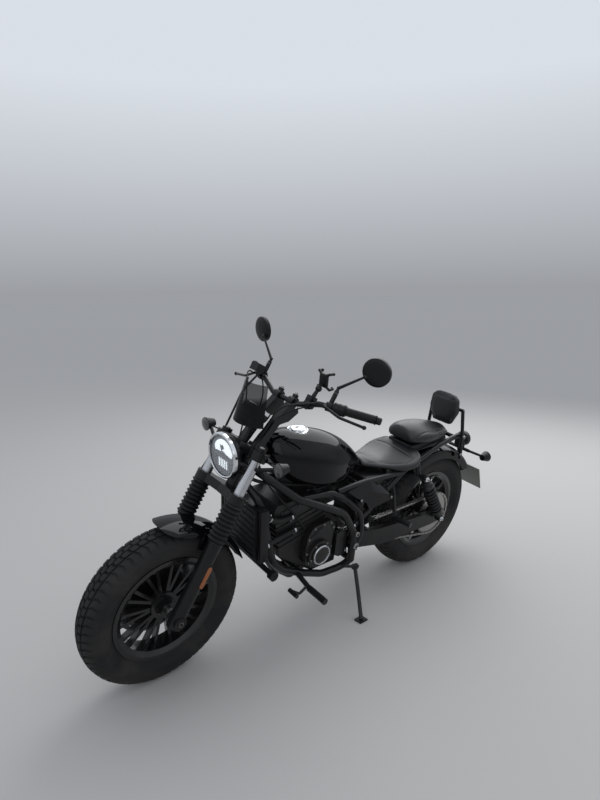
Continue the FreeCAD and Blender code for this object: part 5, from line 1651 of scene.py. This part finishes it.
@dataclass
class Cushion:
    """A padded seat or pad made from its plain solid."""

    node: str
    finish: Finish
    fill: float
    swell: float
    seam: Callable[[Vector], float]
    voxel: float = 0.005
    pressure: float = 4.0
    stiffness: float = 25.0
    frames: int = 16
    first_rounds: int = 14
    last_rounds: int = 4

    def soft(self) -> Piece:
        """The solid's shape remade in even small faces and blown up a little, as foam under a cover.

        Returns:
            The piece, not yet riding on anything.
        """
        piece = remade(self.node, self.node + "_cover", self.voxel)
        relaxed(piece, self.first_rounds, 0.5)
        self.blown(piece)
        relaxed(piece, self.last_rounds, 0.4)
        return piece

    def blown(self, piece: Piece) -> None:
        """Lets the cover swell as cloth under pressure, and holds each point to a small way.

        Args:
            piece: The cover.
        """
        rest = [vert.co.copy() for vert in piece.data.vertices]
        cloth = piece.modifiers.new("foam", "CLOTH")
        settings = cloth.settings
        settings.use_pressure = True
        settings.uniform_pressure_force = self.pressure
        settings.quality = 6
        settings.tension_stiffness = self.stiffness
        settings.compression_stiffness = self.stiffness
        settings.effector_weights.gravity = 0.0
        cloth.point_cache.frame_start = 1
        cloth.point_cache.frame_end = self.frames
        for number in range(1, self.frames + 1):
            bpy.context.scene.frame_set(number)
        applied(piece)
        bpy.context.scene.frame_set(1)
        for vert, start in zip(piece.data.vertices, rest):
            way = vert.co - start
            if way.length > self.swell:
                vert.co = start + way.normalized() * self.swell

    def build(self) -> Piece:
        """Builds the pad with its sewn lines.

        Returns:
            The pad.
        """
        piece = self.soft()
        back = PLACES.bike.inverted()
        shape = bmesh.new()
        shape.from_mesh(piece.data)
        shape.normal_update()
        for vert in shape.verts:
            depth = self.seam(back @ vert.co)
            if depth > 1e-3:
                vert.co -= vert.normal * depth * MM
        for face in shape.faces:
            face.smooth = True
        shape.to_mesh(piece.data)
        shape.free()
        refined(piece)
        settled(piece, "frame", self.finish, [self.node])
        return piece


def groove(distance: float, width: float, depth: float) -> float:
    """Depth of a sewn line at a distance from it, all in millimetres.

    Args:
        distance: The distance.
        width: Half the width of the line.
        depth: Depth at its middle.

    Returns:
        The depth.
    """
    return depth * math.exp(-(distance / width) ** 2)


def rider_seams(spot: Vector) -> float:
    """Sewn lines of the rider's seat: one along each side and one across the back.

    Args:
        spot: A point of the upright machine, in millimetres.

    Returns:
        Depth of the seam there, in millimetres.
    """
    half = 60 + 62 * min(1.0, max(0.0, (-spot.x - 210) / 190))
    side = groove(abs(spot.y) - half, 3.4, 2.6) if spot.z > 690 and -spot.x < 486 else 0.0
    cross = groove(spot.x + 470, 3.4, 2.2) if abs(spot.y) < half else 0.0
    return max(side, cross)


def pillion_seams(spot: Vector) -> float:
    """Sewn lines of the passenger's pad: round its top.

    Args:
        spot: A point of the upright machine, in millimetres.

    Returns:
        Depth of the seam there, in millimetres.
    """
    half = 88 - 38 * min(1.0, max(0.0, (-spot.x - 640) / 170))
    return groove(abs(spot.y) - half, 3.2, 2.4) if spot.z > 768 else 0.0


def backrest_seams(spot: Vector) -> float:
    """Sewn line round the face of the back pad.

    Args:
        spot: A point of the upright machine, in millimetres.

    Returns:
        Depth of the seam there, in millimetres.
    """
    centre = Vector((0, 866))
    reach = Vector((spot.y, spot.z)) - centre
    shape = max(abs(reach.x) / 66, abs(reach.y) / 62)
    return groove((shape - 1) * 62, 3.2, 2.2) if spot.x > -822 else 0.0


@dataclass
class RearEnd:
    """Springs, lenses, plate trim and stay bolts of the rear, in the machine's frame."""

    low: Vector = Vector((-716, 163, 336))
    top: Vector = Vector((-535, 163, 603))
    tail_lamp: Point = (-1064, 0, 652)
    coils: int = 8
    coil_steps: int = 16
    coil_radius: float = 27.0
    wire: float = 5.5
    # lower and upper seat of the spring, from the damper's own ends
    seats: tuple[float, float] = (68.0, 70.0)

    def dampers(self) -> None:
        """Builds the coil springs, bodies, shafts and eyes."""
        run = self.top - self.low
        length = run.length
        place = aimed(self.low, run)
        body = Shape()
        body.spun(((0, 14), (13, 14), (13, 50), (25, 54), (29, 58), (29, 66), (0, 66)), place, 40)
        body.spun(((0, length - 76), (21, length - 76), (21, length - 70), (29, length - 66), (29, length - 52),
                   (22, length - 46), (20, length - 16), (0, length - 16)), place, 40)
        body.bar(place @ Vector((0, 0, 60)), place @ Vector((0, 0, length - 60)), 15)
        for spot in (self.low, self.top):
            body.spun(((9, -14), (18, -14), (18, 14), (9, 14), (9, -14)), facing(1, *spot), 32)
        body.twins().publish("damper_bodies", ON_BIKE, SATIN, ["rear_shocks"])
        first, last = self.seats[0], length - self.seats[1]
        for side, name in SIDE_NAMES.items():
            points = []
            steps = self.coils * self.coil_steps
            for number in range(steps + 1):
                turn = FULL_TURN * number / self.coil_steps
                spot = place @ Vector((self.coil_radius * math.cos(turn), self.coil_radius * math.sin(turn),
                                       first + (last - first) * number / steps))
                points.append(Vector((spot.x, spot.y * side, spot.z)))
            settled(line_mesh(f"{name}_spring", points, self.wire, PLACES.bike, 2), "frame", SATIN)
        bolts = Shape()
        for spot in (self.low, self.top):
            bolts.bar(spot + ACROSS * 10, spot + ACROSS * 17, 12, steps=24)
            bolts.bolt(facing(1, spot.x, spot.y + 17, spot.z), 8.5, 6.5)
        bolts.twins().publish("damper_bolts", ON_BIKE, CHROME)

    def lamps(self) -> None:
        """Builds the rear indicators' lenses and rims, and the tail lamp's lens with its lines."""
        lenses = Shape()
        rims = Shape()
        for side in SIDES:
            spot = (-1071.2, side * 150, 599)
            lenses.spun(((0, 6), (10, 5.6), (19, 4), (25, 1), (25.5, 0)), aimed(spot, (-1, 0, 0)), 40)
            rims.ring(26.2, 1.6, aimed(spot, (-1, 0, 0)), 48)
        lenses.publish("rear_indicator_lenses", ON_BIKE, SMOKE)
        rims.ring(38.5, 2.4, aimed(self.tail_lamp, (-1, 0, 0)), 56)
        rims.publish("rear_lamp_rims", ON_BIKE, MOULDED)
        Shape().spun(((0, 2.6), (20, 2.0), (33, 0.8), (36, -0.6), (36, -2.4)),
                     aimed((-1072.6, 0, 652), (-1, 0, 0)), 56).publish("tail_lamp_lens", ON_BIKE, RED)
        lines = Shape()
        for radius in (12, 20, 28):
            lines.ring(radius, 1.0, aimed((-1074.4, 0, 652), (-1, 0, 0)), 48)
        lines.publish("tail_lamp_lines", ON_BIKE, RED)

    def plate(self) -> None:
        """Builds the plate's raised edge and its two screws."""
        mount = ON_BIKE.at(placed(-1150, 0, 366)).at(rolled(math.radians(22), "Y"))
        edge = Shape()
        for up in (4, 136):
            edge.block((1.4, 212, 2), placed(-3.4, 0, up), 0.5)
        for side in (104, -104):
            edge.block((1.4, 2, 132), placed(-3.4, side, 70), 0.5)
        # The raised edge shares the plate's dark grey-green colour, which is painted shade.
        edge.publish("plate_edge", mount, PLATE_PAINTED_SHADE)
        screws = Shape()
        for side in (62, -62):
            screws.bolt(aimed((-3, side, 120), (-1, 0, 0)), 5, 3)
        screws.publish("plate_screws", mount, STEEL)

    def fixings(self) -> None:
        """Builds the bolts of the side covers, swingarm, stays and axle."""
        bolts = Shape()
        for radius, height, *spot in (
                (6, 0, -114, 156.4, 594), (6, 0, -312, 156.4, 560), (8, 0, -866, 118, 738), (7, 0, -866, 118, 640),
                (12, 8, -100, 171, 440), (15, 8, -100, 171, 380)):
            bolts.bolt(facing(1, *spot), radius, height)
        bolts.twins().publish("frame_bolts", ON_BIKE, STEEL)
        adjusters = Shape()
        adjusters.block((52, 5, 40), facing(1, -748, 137.5, 323), 1.5)
        adjusters.bar((-784, 122, 323), (-806, 122, 323), 5, steps=14)
        adjusters.nut(aimed((-794, 122, 323), (-1, 0, 0)), 9, 6)
        adjusters.twins().publish("chain_adjusters", ON_BIKE, STEEL)
        Shape().block((170, 44, 4), placed(-190, 98, 424) @ rolled(0.17, "Y"), 1.5).publish(
            "chain_guide", ON_BIKE, RUBBER)

    def build(self) -> None:
        """Builds the rear end's dressing."""
        self.dampers()
        self.lamps()
        self.plate()
        self.fixings()


# Body panels


@dataclass
class Fender:
    """Crowned mudguard with rounded ends over one wheel, in the wheel's upright frame."""

    end: str
    mount: Mount
    radius: float
    width: float
    gap: float
    skirt: float
    front_angle: float
    rear_angle: float
    rounding: float
    crown: float = 26.0
    side_gap: float = 13.0
    thickness: float = 3.5

    def build(self) -> None:
        """Bends a grid over the wheel and gives it its thickness."""
        half = self.width / 2 + self.side_gap
        bend = self.radius + self.gap - self.crown
        shape = Shape()
        bmesh.ops.create_grid(shape.mesh, x_segments=56, y_segments=28, size=0.5)

        def bent(spot: Vector) -> Vector:
            """A point of the flat grid, laid over the wheel.

            Args:
                spot: The flat point.

            Returns:
                The laid point.
            """
            share = min(1.0, abs(spot.y) * 2)
            round_part = min(1.0, share / 0.84)
            phase = round_part * math.pi / 2
            across = half * math.sin(phase)
            reach = bend + self.crown * math.cos(phase) - max(0.0, share - 0.84) / 0.16 * (
                bend - self.radius + self.skirt)
            trim = self.rounding * share ** 2.6
            span = self.front_angle + self.rear_angle - 2 * trim
            turn = math.radians(self.front_angle - trim - span * (spot.x + 0.5))
            return Vector((reach * math.sin(turn), math.copysign(across, spot.y), reach * math.cos(turn)))

        shape.move(bent)
        shape.outward()
        outward = sum((face.normal.dot(face.calc_center_median()) for face in shape.mesh.faces), 0.0)
        if outward < 0:
            bmesh.ops.reverse_faces(shape.mesh, faces=list(shape.mesh.faces))
        bmesh.ops.solidify(shape.mesh, geom=list(shape.mesh.faces), thickness=self.thickness)
        shape.outward()
        shape.publish(f"{self.end}_mudguard", self.mount, GLOSS,
                      [f"{self.end}_fender"], crease=50)
        self.brackets()

    def brackets(self) -> None:
        """Builds the front guard's tabs and bolts; the rear guard gets none."""
        if self.end == "front":
            tilt = rolled(-Places.RAKE, "Y")
            tabs = Shape().block((70, 5.6, 64), tilt @ placed(0, 76.9, 294), 1.5).twins()
            tabs.publish("front_mudguard_tabs", self.mount, GLOSS)
            bolts = Shape()
            for ahead, up in ((-22, 276), (22, 276), (0, 308)):
                bolts.bolt(tilt @ aimed((ahead, 72.4, up), (0, -1, 0)), 5)
            bolts.twins().publish("front_mudguard_bolts", self.mount, STEEL)


@dataclass
class Tank:
    """Tank skin: the solid's shape in even small faces, without the edges of its stations."""

    voxel: float = 0.006
    rounds: int = 30
    cap_site: Point = (156, 0, 917)

    def build(self) -> None:
        """Remakes the tank's skin and fits the cap."""
        piece = remade("fuel_tank", "tank_skin", self.voxel)
        relaxed(piece, self.rounds, 0.5)
        for polygon in piece.data.polygons:
            polygon.use_smooth = True
        refined(piece)
        settled(piece, "frame", GLOSS, ["fuel_tank"])
        self.cap()

    def cap(self) -> None:
        """Builds the filler's bright ring, its turned lid and its lock."""
        mount = ON_BIKE.at(aimed(self.cap_site, (0.1, 0, 1)))
        Shape().spun(((0, 13), (13, 13), (15, 11.5), (21, 11.5), (23, 13), (30, 12), (35, 7.5), (36.5, 3),
                      (36.5, -10)), None, 72).publish("filler_lid", mount, CHROME, ["filler_cap"])
        Shape().spun(((37.2, -8), (37.2, 2.5), (41, 4.5), (45.5, 2.2), (46.5, -3), (46.5, -8)), None, 72).publish(
            "filler_ring", mount, CHROME)
        lock = Shape().block((17, 4.6, 2.4), placed(0, 0, 13.3), 0.8)
        lock.spun(((0, 13.5), (6.4, 13.5), (7, 12.8), (7, 12)), None, 24)
        lock.publish("filler_lock", mount, ALLOY)


@dataclass
class InnerParts:
    """What fills the frame behind the tubes: air box, battery box, throttle body and wiring."""

    def boxes(self) -> None:
        """Builds the boxes under the tank and the seats, and the throttle bodies."""
        inner = Shape()
        # size, place ahead and up, lean, rounding and faces across it
        for size, ahead, up, lean, bevel, segments in (
                ((196, 132, 104), -28, 618, 0.12, 16, 3), ((150, 196, 128), -262, 588, -0.05, 14, 3),
                ((120, 150, 130), -232, 480, 0, 14, 3), ((150, 116, 60), 120, 682, 0, 12, 3),
                ((262, 150, 38), -640, 723, 0, 8, 2)):
            inner.block(size, placed(ahead, 0, up) @ rolled(lean, "Y"), bevel, segments)
        inner.publish("air_and_battery_boxes", ON_BIKE, MOULDED)
        lids = Shape()
        for side in SIDES:
            lids.block((128, 4, 84), placed(-26, side * 67, 616) @ rolled(0.12, "Y"), 1.5)
            lids.block((104, 4, 88), placed(-262, side * 99, 586), 1.5)
            for ahead, up in ((30, 590), (-82, 586), (30, 640)):
                lids.bolt(aimed((ahead, side * 69, up), (0, side, 0)), 4)
        lids.publish("box_lids", ON_BIKE, COVER)
        throttle = Shape()
        for side in SIDES:
            throttle.bar((60, side * 40, 640), (128, side * 40, 650), 24, 27, 32)
            throttle.ring(27.5, 3, aimed((92, side * 40, 645), (1, 0, 0.14)), 32)
        throttle.publish("throttle_bodies", ON_BIKE, ALLOY)

    def corner_caps(self) -> None:
        """Builds the bright round caps at the frame's corner."""
        knobs = Shape()
        for x, y, z, radius in ((-96, 150, 470, 9), (-70, 148, 498, 7)):
            knobs.spun(((0, 6), (radius * 0.7, 5.6), (radius, 3), (radius, -4)), aimed((x, y, z), (0, 1, 0)), 24)
        knobs.twins().publish("frame_caps", ON_BIKE, CHROME)

    def wiring(self) -> None:
        """Lays the wires and cables between the head, the bar and the frame."""
        # name, body, radius, points of the body's own frame
        wires = (
            ("head_loom", "frame", 7.0, ((470, 30, 838), (440, 62, 800), (372, 78, 764), (300, 70, 742),
                (230, 66, 716), (120, 68, 690), (20, 70, 668))),
            ("throttle_cable", "frame", 3.4, ((404, -40, 812), (384, -62, 786), (340, -74, 758), (240, -66, 722),
                (130, -58, 678))),
            ("clutch_run", "frame", 3.4, ((396, 62, 874), (380, 88, 800), (330, 104, 720), (250, 112, 640),
                (190, 112, 560), (150, 106, 508))),
            ("stand_wire", "frame", 2.6, ((-60, 96, 470), (-84, 118, 420), (-96, 124, 340), (-110, 122, 262))),
            ("left_switch_wire", "steering", 3.0, ((-70, 214, 938), (-50, 168, 926), (-30, 96, 888), (6, 40, 800),
                (22, 30, 740), (30, 26, 690))),
            ("right_switch_wire", "steering", 3.0, ((-70, -214, 938), (-46, -168, 926), (-24, -96, 880),
                (10, -44, 800), (22, -34, 740), (30, -28, 690))),
            ("throttle_loop", "steering", 3.0, ((-40, -220, 930), (30, -196, 940), (64, -128, 900), (66, -70, 820),
                (52, -46, 740), (44, -40, 690))),
            *((f"{name}_lamp_wire", "steering", 3.0, [(x, side * y, z) for x, y, z in (
                (40, 214, 664), (30, 160, 672), (26, 110, 640), (40, 70, 620), (48, 48, 610))])
              for side, name in SIDE_NAMES.items()),
        )
        frames = {"frame": PLACES.bike, "steering": PLACES.fork}
        for name, body, radius, points in wires:
            settled(line_mesh(name, points, radius, frames[body], 6), body, RUBBER)

    def build(self) -> None:
        """Builds all inner parts."""
        self.boxes()
        self.corner_caps()
        self.wiring()


@dataclass
class PhoneHolder:
    """Sprung claw for a telephone on the left of the bar, in the fork's frame."""

    site: Vector = Vector((-50, 123, 914))

    def build(self) -> None:
        """Builds the clamp, ball joint, plate and four claws."""
        site = self.site
        run = (Vector((-55, 165, 933)) - Vector((-48, 72, 896))).normalized()
        holder = Shape()
        holder.bar(site - run * 13, site + run * 13, 19, steps=28)
        holder.block((36, 30, 26), aimed(site + Vector((-2, -2, 22)), (0, 0, 1)), 4)
        holder.bar(site + Vector((-2, 0, 30)), site + Vector((-9, 0, 66)), 9, 7, 20)
        holder.ball(site + Vector((-10, 0, 70)), 13)
        lean = aimed(site + Vector((-15, 0, 108)), (-0.86, 0, 0.5))
        holder.block((54, 40, 15), lean, 4)
        for hand in SIDES:
            for rise in SIDES:
                root = lean @ Vector((rise * 20, hand * 10, 0))
                elbow = lean @ Vector((rise * 31, hand * 31, 2))
                tip = lean @ Vector((rise * 30, hand * 33, 17))
                hook = lean @ Vector((rise * 28, hand * 26, 21))
                for start, end, thick, thin in (
                        (root, elbow, 6.0, 5.2), (elbow, tip, 5.2, 5.0), (tip, hook, 5.8, 6.2)):
                    holder.bar(start, end, thick, thin, 12)
                holder.ball(elbow, 5.3, 10)
        holder.publish("sprung_phone_claw", ON_FORK, MOULDED, ["phone_holder"])
        knob = Shape()
        knob.spun(((0, 12), (8, 12), (10, 10), (10, 2), (8, 0), (0, 0)),
                  aimed(site + Vector((-20, -14, 24)), (-1, -0.5, 0)), 20)
        knob.publish("phone_claw_knob", ON_FORK, RUBBER)


# Carried nodes, light and camera


class Dressing:
    """Finishes of the nodes that the scene keeps."""

    def build(self) -> None:
        """Gives each shown node its finish, by its slot or its own name."""
        slots = {row["node"]: row["material_slot"] for row in frame["record"]["subparts"]}
        for name, piece in frame["nodes"].items():
            finish = NODE_FINISHES.get(name, SLOT_FINISHES[slots[name]])
            piece.data.materials.clear()
            piece.data.materials.append(material_of(finish))
            LOG.info("%s keeps its shape as %s", name, finish.name)


@dataclass
class Studio:
    """Pale floor, soft lamps and the camera at the photograph's place."""

    position: Vector = Vector((1.530, 1.888, 1.4624))
    yaw: float = math.radians(-128.76)
    pitch: float = math.radians(-11.12)
    roll: float = math.radians(-0.878)
    lens: float = 25.19
    floor_size: float = 160.0
    floor_colour: Colour = (0.46, 0.45, 0.44)
    sky_colour: Colour = (0.7, 0.74, 0.8)
    horizon_colour: Colour = (0.33, 0.34, 0.36)

    def camera(self) -> None:
        """Sets the camera."""
        data = bpy.data.cameras.new("camera")
        data.lens = self.lens
        data.sensor_width = 36.0
        data.clip_end = 200.0
        holder = linked("camera", data)
        ahead = Vector((math.cos(self.yaw) * math.cos(self.pitch), math.sin(self.yaw) * math.cos(self.pitch),
                        math.sin(self.pitch)))
        right = ahead.cross(UPWARD).normalized()
        up = right.cross(ahead)
        level = right * math.cos(self.roll) + up * math.sin(self.roll)
        upright = up * math.cos(self.roll) - right * math.sin(self.roll)
        holder.matrix_world = rig(PLACES.bike.translation + self.position, level, upright, -ahead)
        bpy.context.scene.camera = holder

    def floor(self) -> None:
        """Lays the floor."""
        shape = bmesh.new()
        bmesh.ops.create_grid(shape, x_segments=1, y_segments=1, size=self.floor_size / 2)
        data = bpy.data.meshes.new("floor")
        shape.to_mesh(data)
        shape.free()
        piece = linked("floor", data)
        graph = Graph.paint("floor_paint")
        data.materials.append(graph.finish(Base_Color=self.floor_colour, Roughness=0.9, Specular_IOR_Level=0.1))

    def lamp(self, name: str, place: Point, target: Point, size: float, power: float) -> None:
        """Sets one soft lamp.

        Args:
            name: The lamp's name.
            place: Where it hangs.
            target: What it faces.
            size: Its side in metres.
            power: Its power in watts.
        """
        data = bpy.data.lights.new(name, "AREA")
        data.size = size
        data.energy = power
        holder = linked(name, data)
        holder.location = place
        holder.rotation_mode = "QUATERNION"
        holder.rotation_quaternion = (Vector(target) - Vector(place)).to_track_quat("-Z", "Y")

    def light(self) -> None:
        """Sets the pale sky, dimmer near the horizon, and the lamps."""
        world = bpy.data.worlds.new("surroundings")
        graph = Graph(world)
        direction = graph.add("ShaderNodeTexCoord", output="Generated")
        height = graph.axis("Z", direction)
        rise = (height * 3.2).clamped()
        sky = graph.blended(rise, self.horizon_colour, self.sky_colour)
        graph.add_output(graph.add("ShaderNodeBackground", {}, {"Color": sky, "Strength": 1.0}),
                         "ShaderNodeOutputWorld")
        bpy.context.scene.world = world
        self.lamp("high_key", (-2.7, -0.9, 3.3), (0, 0, 0.5), 4.4, 112)
        self.lamp("front_fill", (2.4, 3.4, 2.6), (0, 0, 0.6), 3.0, 12)

    def build(self) -> None:
        """Builds the studio."""
        self.camera()
        self.floor()
        self.light()
        bpy.context.scene.view_settings.view_transform = "Standard"


def main() -> None:
    """Builds every sub-assembly."""
    logging.basicConfig(level=logging.INFO, format="%(message)s")
    Dressing().build()
    wheels = (
        Wheel("front", Mount(PLACES.front_wheel, "front_wheel"), 320, 130, 117, 92, 160, 60, 96),
        Wheel("rear", ON_REAR_WHEEL, 323, 150, 120, 108, 120, 78, 120),
    )
    fenders = (
        Fender("front", Mount(PLACES.front_wheel, "steering"), 320, 130, 28, 8, 5, 73, 15),
        Fender("rear", Mount(PLACES.rear_wheel, "frame"), 323, 150, 40, 22, 40, 60, 9),
    )
    cushions = (
        Cushion("rider_seat", VINYL, 0.8, 0.004, rider_seams),
        Cushion("pillion_seat", VINYL, 0.85, 0.003, pillion_seams),
        Cushion("backrest_pad", VINYL, 0.85, 0.004, backrest_seams),
    )
    for piece in (*wheels, Headlight(), Dial(), Bars(), ForkTrim(), ChainDrive(), EngineTrim(), RadiatorTrim(),
                  *fenders, Tank(), InnerParts(), PhoneHolder(), *cushions, RearEnd(), Studio()):
        piece.build()
        LOG.info("built %s", type(piece).__name__)


if __name__ == "__main__":
    main()
